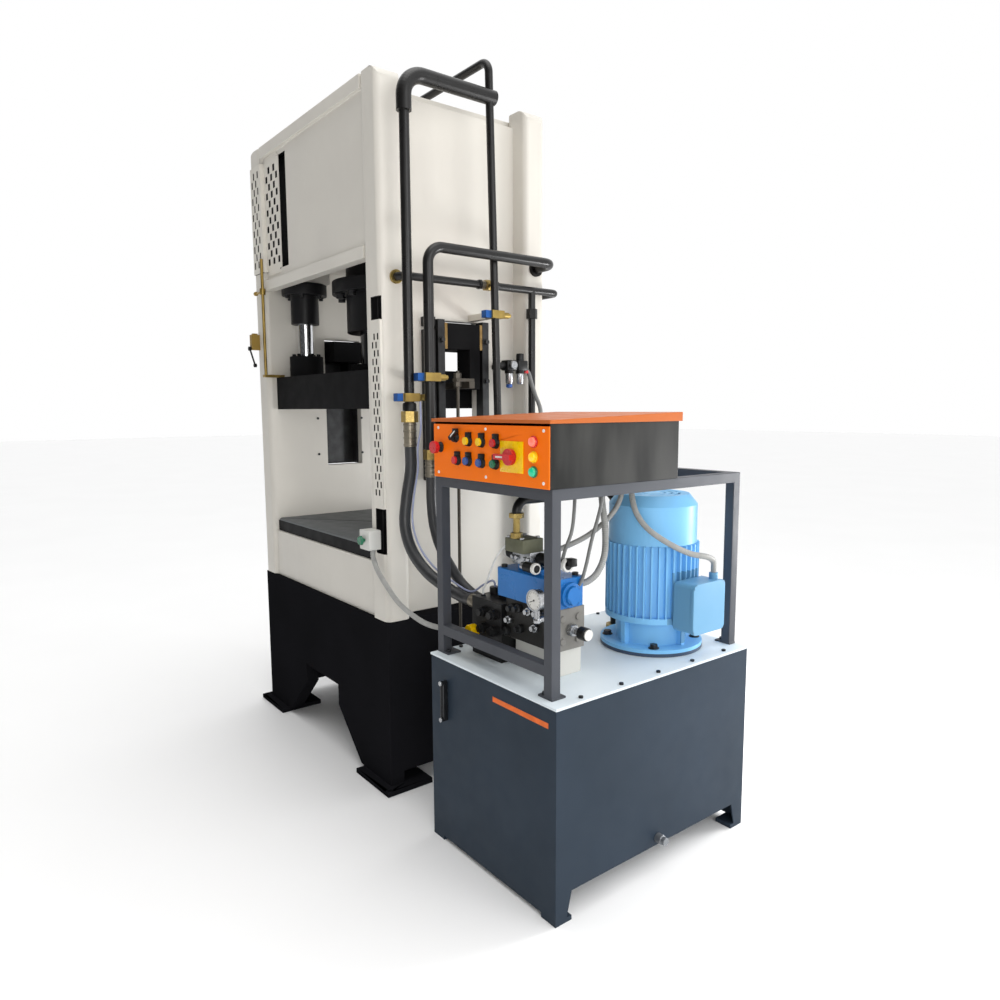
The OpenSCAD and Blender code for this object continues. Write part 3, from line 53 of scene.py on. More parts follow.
# Camera, in metres and millimetres of lens

EYE = Vector((3.049, -1.750, 1.470))
YAW = math.radians(142.11)
PITCH = math.radians(6.94)
ROLL = math.radians(-0.286)
LENS = 27.15
SENSOR = 36.0


def photo_camera():
    """The photograph's viewpoint: beside the power pack, at eye level."""
    ahead = Vector((math.cos(YAW) * math.cos(PITCH), math.sin(YAW) * math.cos(PITCH), -math.sin(PITCH)))
    level = Vector((math.sin(YAW), -math.cos(YAW), 0.0))
    upright = level.cross(ahead)
    right = math.cos(ROLL) * level + math.sin(ROLL) * upright
    up = -math.sin(ROLL) * level + math.cos(ROLL) * upright
    data = bpy.data.cameras.new("photo_camera")
    data.lens = LENS
    data.sensor_width = SENSOR
    camera = bpy.data.objects.new("photo_camera", data)
    scene.collection.objects.link(camera)
    turn = Matrix((right, up, -ahead)).transposed().to_4x4()
    camera.matrix_world = Matrix.Translation(EYE) @ turn
    scene.camera = camera


photo_camera()

# Materials

# The peel of sprayed paint is 1 to 2 mm; it is drawn at 7 mm so that it shows
PEEL_MM = 7.0
SHINE_PATCH_MM = 60.0
# Size and slant of the streaks of painted sheen on the cabinet's dark sheet
STREAK_MM = 110.0
STREAK_SLANT = 0.35


def linear(code):
    """An sRGB hex colour as linear red, green, blue and alpha."""
    channels = [int(code[i:i + 2], 16) / 255 for i in (1, 3, 5)]
    return [c / 12.92 if c <= 0.04045 else ((c + 0.055) / 1.055) ** 2.4 for c in channels] + [1.0]


def add(tree, kind, inputs=None, **settings):
    """One shader node with its settings, values and links."""
    item = tree.nodes.new(kind)
    for key, value in settings.items():
        setattr(item, key, value)
    for key, value in (inputs or {}).items():
        if isinstance(value, bpy.types.NodeSocket):
            tree.links.new(value, item.inputs[key])
        else:
            item.inputs[key].default_value = value
    return item


def surface(name, **sockets):
    """A material with one shader, and the place on the object that its patterns read."""
    made = bpy.data.materials.new(name)
    made.use_nodes = True
    tree = made.node_tree
    shader = tree.nodes["Principled BSDF"]
    for key, value in sockets.items():
        shader.inputs[key.replace("_", " ")].default_value = value
    where = add(tree, "ShaderNodeTexCoord").outputs["Object"]
    return made, tree, shader, where


def grain(tree, where, size_mm, detail=2.0):
    """Soft noise whose grains are about size_mm across."""
    scale = 1 / (size_mm * MM)
    return add(tree, "ShaderNodeTexNoise", {"Vector": where, "Scale": scale, "Detail": detail}).outputs[0]


def between(tree, factor, a, b):
    """Colour a where factor is 0, colour b where it is 1."""
    return add(tree, "ShaderNodeMix", {0: factor, 6: a, 7: b}, data_type="RGBA").outputs[2]


def spread(tree, factor, low, high, start=0.3, end=0.7):
    """A noise factor stretched from low to high."""
    return add(tree, "ShaderNodeMapRange", {0: factor, 1: start, 2: end, 3: low, 4: high}).outputs[0]


def inside(tree, where, low, high):
    """1 inside a box of the row frame, given in metres, and 0 outside it."""
    middle = [(a + b) / 2 for a, b in zip(low, high)]
    half = [(b - a) / 2 for a, b in zip(low, high)]
    offset = add(tree, "ShaderNodeVectorMath", {0: where, 1: middle}, operation="SUBTRACT").outputs[0]
    size = add(tree, "ShaderNodeVectorMath", {0: offset}, operation="ABSOLUTE").outputs[0]
    past = add(tree, "ShaderNodeVectorMath", {0: size, 1: half}, operation="SUBTRACT").outputs[0]
    axes = add(tree, "ShaderNodeSeparateXYZ", {0: past}).outputs
    worst = add(tree, "ShaderNodeMath", {0: axes[0], 1: axes[1]}, operation="MAXIMUM").outputs[0]
    worst = add(tree, "ShaderNodeMath", {0: worst, 1: axes[2]}, operation="MAXIMUM").outputs[0]
    return add(tree, "ShaderNodeMath", {0: worst, 1: 0.0}, operation="LESS_THAN").outputs[0]


def bumped(tree, shader, height, strength, depth_mm):
    """Raises the surface by a height pattern."""
    bump = add(tree, "ShaderNodeBump", {"Height": height, "Strength": strength, "Distance": depth_mm * MM})
    tree.links.new(bump.outputs[0], shader.inputs["Normal"])


def painted_areas(tree, where, tone, areas):
    """A tone with boxes of the row frame in other colours."""
    for low, high, other in areas:
        tone = between(tree, inside(tree, where, low, high), tone, linear(other))
    return tone


def enamel(name, colour, shade, rough, gloss=0.4, coat=0.0, peel=0.12, areas=(), patch_mm=420):
    """Sprayed enamel on steel: a slightly uneven tone, a fine orange peel and a soft gloss."""
    made, tree, shader, where = surface(name, Specular_IOR_Level=gloss, Coat_Weight=coat,
                                        Coat_Roughness=0.12)
    patches = spread(tree, grain(tree, where, patch_mm, 4), 0, 1)
    tone = between(tree, patches, linear(colour), linear(shade))
    tree.links.new(painted_areas(tree, where, tone, areas), shader.inputs["Base Color"])
    shine = spread(tree, grain(tree, where, SHINE_PATCH_MM, 3), rough - 0.05, rough + 0.08)
    tree.links.new(shine, shader.inputs["Roughness"])
    bumped(tree, shader, grain(tree, where, PEEL_MM, 2), peel, 0.4)
    return made


def sheen_streaked_enamel(name, colour, sheen, rough):
    """Dark enamel with broad slanting streaks of painted sheen in its colour; its roughness follows the
    streaks.
    """
    made, tree, shader, where = surface(name, Specular_IOR_Level=0.2)
    slant = add(tree, "ShaderNodeMapping",
                {"Vector": where, "Rotation": (STREAK_SLANT, 0.0, 0.0), "Scale": (1, 1, 0.25)})
    streaks = spread(tree, grain(tree, slant.outputs[0], STREAK_MM, 3), 0, 1, 0.35, 0.68)
    tone = between(tree, streaks, linear(colour), linear(sheen))
    tree.links.new(tone, shader.inputs["Base Color"])
    tree.links.new(spread(tree, streaks, rough - 0.06, rough + 0.1, 0, 1), shader.inputs["Roughness"])
    bumped(tree, shader, grain(tree, where, PEEL_MM, 2), 0.1, 0.3)
    return made


def machined(name, colour, shade, rough, stretch=(1, 1, 1), line_mm=3.0, metallic=1.0, areas=()):
    """Bare, ground or plated steel: fine lines along the tool's path and a patchy shine."""
    made, tree, shader, where = surface(name, Metallic=metallic)
    along = add(tree, "ShaderNodeMapping", {"Vector": where, "Scale": stretch}).outputs[0]
    lines = grain(tree, along, line_mm, 3)
    patches = spread(tree, grain(tree, where, 45, 4), 0, 1)
    tone = between(tree, patches, linear(colour), linear(shade))
    tree.links.new(painted_areas(tree, where, tone, areas), shader.inputs["Base Color"])
    tree.links.new(spread(tree, lines, rough - 0.08, rough + 0.12), shader.inputs["Roughness"])
    bumped(tree, shader, lines, 0.15, 0.2)
    return made


def moulded(name, colour, rough, grain_mm=2.0, strength=0.1, coat=0.0, gloss=0.3):
    """Moulded plastic or rubber: an even colour under a fine grain."""
    made, tree, shader, where = surface(name, Specular_IOR_Level=gloss, Coat_Weight=coat,
                                        Coat_Roughness=0.08)
    base = linear(colour)
    darker = [c * 0.82 for c in base[:3]] + [1.0]
    tone = between(tree, spread(tree, grain(tree, where, 25, 3), 0, 1), base, darker)
    tree.links.new(tone, shader.inputs["Base Color"])
    shine = spread(tree, grain(tree, where, 12, 2), rough - 0.06, rough + 0.06)
    tree.links.new(shine, shader.inputs["Roughness"])
    bumped(tree, shader, grain(tree, where, grain_mm, 2), strength, 0.3)
    return made


def lens(name, colour, glow):
    """A lamp's translucent cap, bright as if lit from behind."""
    made, tree, shader, where = surface(name, Roughness=0.18, IOR=1.49, Coat_Weight=0.6,
                                        Emission_Strength=glow)
    base = linear(colour)
    brighter = [min(1.0, c * 1.15) for c in base[:3]] + [1.0]
    tone = between(tree, grain(tree, where, 9, 2), base, brighter)
    tree.links.new(tone, shader.inputs["Base Color"])
    shader.inputs["Emission Color"].default_value = base
    return made


# Painted areas, as boxes of the row frame in metres

# Black painted into the hollows of post and crown, the vent's opening and the sheets' slot walls: painted
# shade, as these hollows are dark only from shade
POCKET_SHADE = "#0b0b0c"
POST_POCKET = ((0.5385, -0.3915, 0.9285), (0.6035, -0.30, 1.8735))
CROWN_POCKET = ((-0.5955, -0.3915, 2.1035), (-0.4985, -0.30, 2.5885))
VENT_OPENING = ((-0.4915, -0.3715, 2.1035), (-0.2245, -0.3425, 2.5885))
# Slot walls of the perforated sheets, behind their front faces, painted black as painted shade
SLOT_WALL_SHADE = [((0.5365, -0.3927, 1.103), (0.6015, -0.389, 1.787)),
              ((-0.597, -0.3927, 2.10), (-0.482, -0.389, 2.59)),
              ((-0.475, -0.3747, 2.10), (-0.308, -0.371, 2.59))]
# A dark band painted on the underside of the motor's flange: painted shade
FLANGE_UNDERSIDE_SHADE = ((1.1, 0.0, 0.649), (1.6, 0.5, 0.662))
# The terminal box's lit face painted a darker blue: painted shade against the light that falls on it
TERMINAL_BOX_SHADE = ((1.474, 0.1, 0.68), (1.7, 0.45, 0.93))
CLAMP_ARMS = [((0.52, -0.36, 1.48), (0.6605, -0.29, 1.54)), ((0.52, -0.282, 1.56), (0.7045, -0.246, 1.61)),
              ((0.52, 0.03, 1.80), (0.6655, 0.11, 1.86))]
CLAMP_TAGS = [((0.67, -0.39, 1.48), (0.71, -0.3592, 1.54)), ((0.71, -0.33, 1.55), (0.755, -0.2962, 1.61)),
              ((0.67, 0.0, 1.80), (0.71, 0.0372, 1.86))]
HOSE_TAILS = [((0.65, -0.36, 1.32), (0.73, -0.29, 1.4205)), ((0.70, -0.30, 1.20), (0.77, -0.23, 1.2855)),
              ((0.99, -0.31, 0.78), (1.0305, -0.19, 0.85))]
DARK_FITTINGS = [((0.60, 0.25, 1.98), (0.63, 0.42, 2.08)), ((0.62, 0.25, 1.80), (0.68, 0.32, 1.90)),
                 ((1.0, -0.28, 0.67), (1.0305, -0.22, 0.72)), ((1.3, -0.05, 1.22), (1.42, 0.13, 1.25))]

# Press: warm white enamel with a soft gloss, black enamel that is nearly matt on base and slide
# The white's post and crown pockets and its vent opening are painted black as painted shade
press_white = enamel("press_white_enamel", "#d8d4cb", "#d0ccc4", 0.36, 0.35,
                     areas=[box + (POCKET_SHADE,) for box in (POST_POCKET, CROWN_POCKET, VENT_OPENING)])
# The sheets' slot walls are painted black as painted shade
sheet_white = enamel("sheet_white_enamel", "#dfdbd2", "#d6d2c9", 0.4, 0.3,
                     areas=[box + (POCKET_SHADE,) for box in SLOT_WALL_SHADE])
press_black = enamel("press_black_enamel", "#19191b", "#1d1d20", 0.6, 0.0)
slide_black = enamel("slide_black_enamel", "#151516", "#1b1b1c", 0.55, 0.03)
cylinder_black = enamel("cylinder_black_enamel", "#141415", "#1d1d1f", 0.4, 0.2)
pipe_black = enamel("pipe_black_enamel", "#131313", "#1a1919", 0.3, 0.4)
# Power pack: plain enamels, a little shinier on the blue castings than on tank and frame
tank_slate = enamel("tank_slate_enamel", "#2c3641", "#323d4a", 0.45, 0.1)
lid_grey = enamel("lid_pale_enamel", "#e2ebf0", "#d8e2e8", 0.4, 0.3)
frame_grey = enamel("frame_grey_enamel", "#44464c", "#4d5056", 0.45, 0.2)
# The motor's blue has a dark band under the flange and a darker terminal box, both painted shade
motor_blue = enamel("motor_blue_enamel", "#8accf8", "#7ec0f0", 0.38, 0.35, peel=0.2,
                    areas=[FLANGE_UNDERSIDE_SHADE + ("#3f4d63",), TERMINAL_BOX_SHADE + ("#699ec2",)])
valve_blue = enamel("valve_blue_enamel", "#1a74c0", "#1464ab", 0.3, 0.4, peel=0.3)
# Cabinet and small housings: orange enamel, a dark sheet with streaks of painted sheen, cast and blackened
# blocks
cabinet_dark = sheen_streaked_enamel("cabinet_dark_enamel", "#151615", "#353533", 0.42)
cabinet_orange = enamel("cabinet_orange_enamel", "#ff7d0a", "#fb7406", 0.42, 0.15)
lid_orange = enamel("lid_orange_enamel", "#c4672a", "#b96128", 0.42, 0.22)
switch_white = enamel("switch_white_enamel", "#dcdcd7", "#d0d0cb", 0.4, 0.3,
                      areas=[((-0.62, -0.46, 1.7), (-0.5, -0.38, 1.9), "#94793a")])
valve_black = enamel("valve_black_finish", "#131314", "#1f1e1e", 0.4, 0.3)
olive_cast = enamel("olive_cast_finish", "#6b6c58", "#5b5c4a", 0.5, 0.3, peel=0.3, patch_mm=40)
bolster_finish = enamel("bolster_finish", "#121213", "#17181a", 0.45, 0.06,
                        areas=[((-0.5, -0.4, 0.9355), (0.5, 0.4, 0.95), "#6a6d6e")])
# Manifold: a near-white plinth under a grey block whose front face is painted dark as painted shade
manifold_paint_and_shade = enamel("manifold_paint_and_shade", "#84827e", "#76746f", 0.5, 0.3, peel=0.25, patch_mm=60,
                         areas=[((1.1, -0.4, 0.6), (1.5, -0.05, 0.7405), "#cdccc6"),
                                ((1.18, -0.29, 0.7405), (1.44, -0.2785, 0.9), "#2c2b29")])
# Bare and plated metal: a patchy shine over fine tool lines
dark_steel = machined("blackened_steel", "#3a3b3c", "#2a2a2b", 0.46, metallic=0.7)
ferrule_steel = machined("ferrule_steel", "#9a9283", "#7d7668", 0.36)
bright_screws = machined("bright_screws", "#f2f2f0", "#e4e4e2", 0.36, metallic=0.2)
plated_steel = machined("zinc_plated_steel", "#b9bbbd", "#9b9da0", 0.28)
tank_screws = machined("blackened_screws", "#3c3e41", "#2a2c2f", 0.4, metallic=0.8,
                       areas=[((1.57, -0.1, 0.0), (1.63, 0.1, 0.2), "#8f9296")])
yellow_zinc = machined("yellow_zinc", "#b59a58", "#947c42", 0.34, metallic=0.85,
                       areas=[((0.4, -0.3, 0.5), (0.8, 0.2, 1.7), "#4d4943")])
clamp_zinc = machined("clamp_zinc", "#a8904f", "#86713d", 0.38, metallic=0.8,
                      areas=[box + ("#dcd8cf",) for box in CLAMP_ARMS]
                      + [box + ("#2a5aa0",) for box in CLAMP_TAGS])
fitting_brass = machined("fitting_brass", "#b7a063", "#917b46", 0.32, metallic=0.9,
                         areas=[box + ("#8f8778",) for box in HOSE_TAILS]
                         + [box + ("#2b2a2a",) for box in DARK_FITTINGS])
bronze = machined("guide_bronze", "#9a7f52", "#7e653d", 0.42, metallic=0.85)
ram_chrome = machined("hard_chrome", "#dcdde0", "#cfd1d4", 0.14, (1, 1, 12),
                      areas=[((-0.14, -0.14, 1.4), (0.14, 0.14, 2.7), "#3a3b3d")])
# Rubber and plastic: an even colour, dull on hoses and conduits, hard and glossy on buttons and lamps
hose_rubber = moulded("hose_rubber", "#303133", 0.4, 3.0, 0.2, gloss=0.6)
conduit_grey = moulded("conduit_grey_plastic", "#a9a9a6", 0.45, 3.0, 0.1)
conduit_dark = moulded("conduit_dark_plastic", "#7c7d7c", 0.45, 3.0, 0.1)
lead_white = moulded("lead_white_plastic", "#f6f6f4", 0.4)
tube_blue = moulded("tube_blue_plastic", "#a9b0d0", 0.35)
black_plastic = moulded("black_plastic", "#121212", 0.4)
red_plastic = moulded("red_plastic", "#cf2028", 0.3, coat=0.3)
yellow_plastic = moulded("yellow_plastic", "#ffcf00", 0.3, coat=0.3)
blue_plastic = moulded("blue_plastic", "#2d569f", 0.3, coat=0.3)
green_plastic = moulded("green_plastic", "#1f7453", 0.3, coat=0.3)
white_plastic = moulded("white_plastic", "#e4e3de", 0.35, coat=0.2)
orange_trim = moulded("orange_trim", "#ef6f22", 0.45)
# Flat black for the sheet behind the vent: painted shade
pocket_shade_black = moulded("pocket_shade_black", POCKET_SHADE, 0.7)
red_lens = lens("red_lamp_lens", "#f0705c", 0.45)
yellow_lens = lens("yellow_lamp_lens", "#f5b915", 0.4)
green_lens = lens("green_lamp_lens", "#17b184", 0.35)

FINISHES = {
    press_white: "left_upright right_upright crown bed_box",
    sheet_white: "vent_sheets",
    press_black: "base_frame",
    slide_black: "slide_platen",
    cylinder_black: "main_cylinder side_cylinders",
    bolster_finish: "bolster",
    dark_steel: "guide_bars press_bolts",
    bronze: "guide_liners",
    ram_chrome: "rams",
    yellow_zinc: "trip_rods",
    clamp_zinc: "pipe_clamps",
    switch_white: "switch_boxes",
    black_plastic: "switch_lever selector",
    green_plastic: "start_button button_7",
    pipe_black: "main_pipework return_pipe pilot_pipe",
    fitting_brass: "pipe_fittings",
    tank_slate: "oil_tank",
    lid_grey: "tank_lid",
    plated_steel: "motor_rotor",
    tank_screws: "tank_fittings",
    frame_grey: "pack_frame",
    motor_blue: "motor_body fan_cover terminal_box",
    manifold_paint_and_shade: "manifold pump",
    valve_blue: "control_valve",
    valve_black: "port_block",
    yellow_plastic: "relief_knob button_1 button_2",
    red_plastic: "e_stop isolator button_3 button_4",
    blue_plastic: "button_5 button_6",
    cabinet_dark: "cabinet_box",
    cabinet_orange: "cabinet_panel",
    lid_orange: "cabinet_lid",
}

# Edge rounding of the CAD nodes, in millimetres
EDGES = {
    3.0: "base_frame left_upright right_upright crown bed_box bolster slide_platen",
    2.0: "main_cylinder side_cylinders guide_bars tank_lid pack_frame control_valve manifold terminal_box",
    1.0: "oil_tank cabinet_box cabinet_lid cabinet_panel port_block fan_cover press_bolts trip_rods "
         "pipe_fittings pipe_clamps tank_fittings switch_boxes switch_lever guide_liners",
    0.8: "motor_body relief_knob e_stop selector isolator start_button rams button_1 button_2 button_3 "
         "button_4 button_5 button_6 button_7",
}


def paint_nodes():
    """Gives every CAD node its finish and soft edges."""
    for finish, names in FINISHES.items():
        for name in names.split():
            for slot in nodes[name].material_slots:
                slot.material = finish
    for width, names in EDGES.items():
        for name in names.split():
            merge = nodes[name].modifiers.new("merge", "WELD")
            merge.merge_threshold = 0.01 * MM
            edge = nodes[name].modifiers.new("edges", "BEVEL")
            edge.width = width * MM
            edge.segments = 2
            edge.limit_method = "ANGLE"
            edge.angle_limit = SMOOTH_ANGLE
            edge.use_clamp_overlap = False
            nodes[name].modifiers.new("shading", "WEIGHTED_NORMAL")


paint_nodes()

# Shapes that repeat

TURNS = {
    "+Z": Matrix.Identity(4),
    "-Z": Matrix.Rotation(math.pi, 4, "X"),
    "+X": Matrix.Rotation(math.pi / 2, 4, "Y"),
    "-X": Matrix.Rotation(-math.pi / 2, 4, "Y"),
    "-Y": Matrix.Rotation(math.pi / 2, 4, "X"),
    "+Y": Matrix.Rotation(-math.pi / 2, 4, "X"),
}


def mm(*values):
    """A point in millimetres as metres."""
    return Vector(values) * MM


def block(bm, low, high, edge=1.5):
    """A box between two corners in millimetres, with rounded edges."""
    low, high = mm(*low), mm(*high)
    place = Matrix.Translation((low + high) / 2) @ Matrix.Diagonal((high - low).to_4d())
    made = bmesh.ops.create_cube(bm, size=1.0, matrix=place)["verts"]
    if edge:
        edges = list({e for v in made for e in v.link_edges})
        bmesh.ops.bevel(bm, geom=edges, offset=edge * MM, segments=2, profile=0.5, affect="EDGES",
                        material=-1)


def block_at(bm, at, low, high, edge=1.5):
    """A box whose corners are given from a point."""
    block(bm, [a + c for a, c in zip(at, low)], [a + c for a, c in zip(at, high)], edge)


def turned(bm, profile, at, axis="+Z", steps=32, closed=False):
    """A turned shape: a profile of (radius, height) in millimetres, spun about an axis through a point."""
    verts = [bm.verts.new((r * MM, 0, h * MM)) for r, h in profile]
    pairs = list(zip(verts, verts[1:])) + ([(verts[-1], verts[0])] if closed else [])
    edges = [bm.edges.new(pair) for pair in pairs]
    before = set(bm.verts) - set(verts)
    bmesh.ops.spin(bm, geom=verts + edges, cent=(0, 0, 0), axis=(0, 0, 1), angle=FULL_TURN, steps=steps,
                   use_merge=True)
    made = [v for v in bm.verts if v not in before]
    bmesh.ops.transform(bm, matrix=Matrix.Translation(mm(*at)) @ TURNS[axis], verts=made)
    bmesh.ops.remove_doubles(bm, verts=made, dist=0.005 * MM)


def hexagon(bm, flats, height, at, axis="+Z"):
    """A hexagon head or nut, across its flats, with its seat at a point."""
    radius = flats / 2 / math.cos(math.pi / 6) * MM
    place = Matrix.Translation(mm(*at)) @ TURNS[axis] @ Matrix.Translation((0, 0, height / 2 * MM))
    made = bmesh.ops.create_cone(bm, cap_ends=True, segments=6, radius1=radius, radius2=radius,
                                 depth=height * MM, matrix=place)["verts"]
    edges = list({e for v in made for e in v.link_edges})
    bmesh.ops.bevel(bm, geom=edges, offset=flats * 0.05 * MM, segments=1, profile=0.5, affect="EDGES",
                    material=-1)


def piece(name, bm, finish, body="frame"):
    """Makes an object of a bmesh and lets it ride on a body."""
    bmesh.ops.recalc_face_normals(bm, faces=bm.faces)
    mesh = bpy.data.meshes.new(name)
    bm.to_mesh(mesh)
    bm.free()
    mesh.materials.append(finish)
    mesh.polygons.foreach_set("use_smooth", [True] * len(mesh.polygons))
    mesh.set_sharp_from_angle(angle=SMOOTH_ANGLE)
    made = bpy.data.objects.new(name, mesh)
    scene.collection.objects.link(made)
    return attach(made, body)


# Cords: routes in millimetres from one fitting to the other

HOSE_FRONT = [(690, -325, 1333), (690, -325, 1250), (684, -341, 1145), (691, -354, 1048), (729, -351, 962),
              (795, -332, 892), (872, -303, 846), (950, -278, 818), (1000, -278, 818)]
HOSE_REAR = [(732, -264, 1222), (732, -264, 1130), (748, -264, 1040), (786, -258, 958), (860, -242, 867),
             (915, -232, 829), (957, -225, 812), (985, -222, 806), (1000, -222, 806)]
MOTOR_CONDUIT = [(1380, 94, 1236), (1380, 94, 1190), (1400, 96, 1130), (1440, 108, 1080), (1490, 150, 1035),
                 (1530, 210, 1000), (1552, 270, 985), (1550, 308, 965), (1545, 318, 940), (1545, 318, 926)]
VALVE_UPPER = [(1362, 62, 1236), (1362, 62, 1180), (1348, 30, 1120), (1318, -40, 1060), (1280, -115, 1022),
               (1258, -160, 1008), (1258, -190, 1008)]
VALVE_LOWER = [(1351, -14, 1236), (1351, -14, 1180), (1371, -18, 1090), (1390, -38, 1010), (1394, -70, 958),
               (1384, -100, 930), (1362, -122, 919), (1343, -138, 916), (1335, -152, 916), (1335, -160, 916)]
STATION_CONDUIT = [(562, -418, 945), (562, -418, 918), (588, -415, 872), (640, -408, 822), (692, -397, 776),
                   (748, -378, 738), (815, -348, 706), (890, -310, 697), (950, -268, 698), (985, -250, 695),
                   (1010, -250, 695)]
COIL_FEED = [(1416, -196, 1250), (1416, -196, 1180), (1414, -204, 1105), (1404, -220, 1050),
             (1398, -227, 1017)]
BLOCK_FEED = [(1452, -120, 1250), (1452, -120, 1180), (1444, -150, 1073), (1440, -168, 1000),
              (1435, -178, 960), (1427, -184, 935)]
HOSE_TUBE = [(717, -296, 1495), (717, -296, 1400), (707, -304, 1330), (707, -305, 1250), (701, -320, 1155),
             (708, -332, 1060), (746, -329, 977), (812, -310, 908), (888, -281, 864), (962, -257, 838),
             (1012, -240, 868), (1046, -227, 888), (1060, -226, 880), (1060, -226, 869)]
AIR_HOSE = [(656, 245, 1628), (658, 262, 1612), (664, 272, 1572), (684, 276, 1522), (730, 262, 1470),
            (800, 205, 1415), (880, 130, 1370), (945, 78, 1346), (970, 66, 1340)]
SIGNAL_LEAD = [(1196, -262, 1036), (1178, -262, 1036), (1145, -270, 1008), (1112, -274, 960),
               (1082, -274, 905), (1056, -272, 865), (1056, -272, 849)]


def eased(route, step_mm):
    """A smooth line through a route's points, in metres, with a point about every step_mm."""
    points = [mm(*p) for p in route]
    ends = [2 * points[0] - points[1]] + points + [2 * points[-1] - points[-2]]
    line = []
    for a, b, c, d in zip(ends, ends[1:], ends[2:], ends[3:]):
        count = max(2, round((c - b).length / (step_mm * MM)))
        for k in range(count):
            t = k / count
            line.append(0.5 * (2 * b + (c - a) * t + (2 * a - 5 * b + 4 * c - d) * t ** 2
                               + (3 * b - a - 3 * c + d) * t ** 3))
    return line + [points[-1]]


def tube(name, line, diameter_mm, finish, rib=0.0, sides=14):
    """A tube along a line. rib is how much every second ring is drawn in, for a corrugated conduit."""
    bm = bmesh.new()
    side = Vector((0, 1, 0)) if abs((line[1] - line[0]).normalized().y) < 0.9 else Vector((1, 0, 0))
    ring = bmesh.ops.create_circle(bm, cap_ends=True, segments=sides, radius=diameter_mm / 2 * MM)["verts"]
    flat = [v.co.copy() for v in ring]
    loop = list({e for v in ring for e in v.link_edges})
    for i, point in enumerate(line):
        ahead = (line[min(i + 1, len(line) - 1)] - line[max(i - 1, 0)]).normalized()
        side = (side - ahead * side.dot(ahead)).normalized()
        turn = Matrix((side, ahead.cross(side), ahead)).transposed()
        if i:
            made = bmesh.ops.extrude_edge_only(bm, edges=loop)["geom"]
            ring = [g for g in made if isinstance(g, bmesh.types.BMVert)]
            loop = [g for g in made if isinstance(g, bmesh.types.BMEdge) and g.is_boundary]
        scale = 1 - rib * (i % 2)
        for vert, place in zip(ring, flat):
            vert.co = point + turn @ (place * scale)
    bmesh.ops.contextual_create(bm, geom=loop)
    return piece(name, bm, finish)


def free_cord(name, node, route, diameter_mm, finish, rib=0.0, step_mm=12.0):
    """A hose, conduit or lead between two fittings of the object. node is its CAD solid, if it has one."""
    line = eased(route, step_mm)
    made = tube(name, line, diameter_mm, finish, rib)
    if node:
        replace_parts(made, node)


def cords():
    """Hoses, ribbed conduits and thin leads."""
    free_cord("front_hose", "hose_front", HOSE_FRONT, 42, hose_rubber)
    free_cord("rear_hose", "hose_rear", HOSE_REAR, 38, hose_rubber)
    for name, node, route, size in (
            ("motor_feed_conduit", "motor_conduit", MOTOR_CONDUIT, 20),
            ("upper_valve_conduit", "valve_conduit_upper", VALVE_UPPER, 18),
            ("lower_valve_conduit", "valve_conduit_lower", VALVE_LOWER, 22),
            ("station_feed_conduit", "station_conduit", STATION_CONDUIT, 20)):
        free_cord(name, node, route, size, conduit_grey, rib=0.1, step_mm=3.0)
    free_cord("sensor_lead", "signal_lead", SIGNAL_LEAD, 7, lead_white)
    free_cord("coil_feed_conduit", None, COIL_FEED, 11, conduit_dark)
    free_cord("block_feed_conduit", None, BLOCK_FEED, 11, conduit_dark)
    free_cord("hose_side_tube", None, HOSE_TUBE, 7, tube_blue)
    free_cord("air_hose", None, AIR_HOSE, 17, conduit_dark)


cords()

# Press details

# Black sheet behind the crown's vent, standing in for the shade inside it
VENT_SHADE_SHEET = ((-488, -346.5, 2108), (-228, -344.2, 2584))
STRIP_RETURN = ((601, -392.6, 1100), (604, -381, 1790))

AIR_X = 656
FILTER_Y = 162
REGULATOR_Y = 218
HEAD_BOTTOM = 1620
HEAD_MIDDLE = 1640
HEAD_TOP = 1660
HEAD_LOW = (-22, -25, 0)
HEAD_HIGH = (22, 25, HEAD_TOP - HEAD_BOTTOM)
AIR_BRACKET = ((530, 170, 1630), (634, 210, 1650))
AIR_BRIDGE = ((640, 186, 1626), (672, 194, 1654))
REGULATOR_KNOB = [(0, 0), (16, 0), (16, 22), (14, 28), (0, 30)]
AIR_INLET = [(0, 0), (11, 0), (11, 24), (8, 34), (0, 34)]
AIR_DIAL = [(0, 0), (17, 0), (17, 10), (15, 13), (0, 13)]
BOWL_NECK = [(0, 0), (18, 0), (18, 12), (0, 12)]
BOWL = [(0, 11), (15, 11), (15, 46), (12, 54), (0, 56)]
BOWL_DRAIN = [(0, 55), (13, 55), (13, 66), (7, 70), (0, 70)]
AIR_TAG = [(0, 0), (12, 0), (12, 12), (0, 12)]
AIR_TAG_AT = (657, 246, 1622)

# Foot, top and radius of each hose's upper tail
HOSE_ENDS = [(HOSE_FRONT[0], 1421, 23), (HOSE_REAR[0], 1286, 21)]
CRIMPS = 4
CRIMP_MARGIN = 8
CRIMP_H = 1.6
RISER_COLLAR = [(18.3, 0), (25, 0), (25, 24), (22, 29), (18.3, 29)]
RISER_COLLAR_Z = 1462

UNION_X = 651
UNION_Z = 1943
UNION_Y = 18
UNION_NUTS_Y = (14, 96)
UNION_SLEEVE = [(13, 0), (16, 0), (16, 84), (13, 84)]
UNION_NUT = [(12.5, 0), (19, 0), (19, 12), (12.5, 12)]

INNER_WALL_X = -490
WINDOW_SCREWS_Y = (-143, 98)
WINDOW_SCREWS_Z = (1246, 1424)
WINDOW_SCREW = [(6, 0), (6, 3), (4.5, 4.5), (0, 4.5)]


def vent_shade_sheet():
    """Black sheet behind the crown's vent, put there as painted shade so that its slots look dark, and the
    post strip's folded edge.
    """
    bm = bmesh.new()
    block(bm, *VENT_SHADE_SHEET, 0.5)
    piece("vent_shade_sheet", bm, pocket_shade_black)
    bm = bmesh.new()
    block(bm, *STRIP_RETURN, 0.5)
    piece("strip_return", bm, sheet_white)


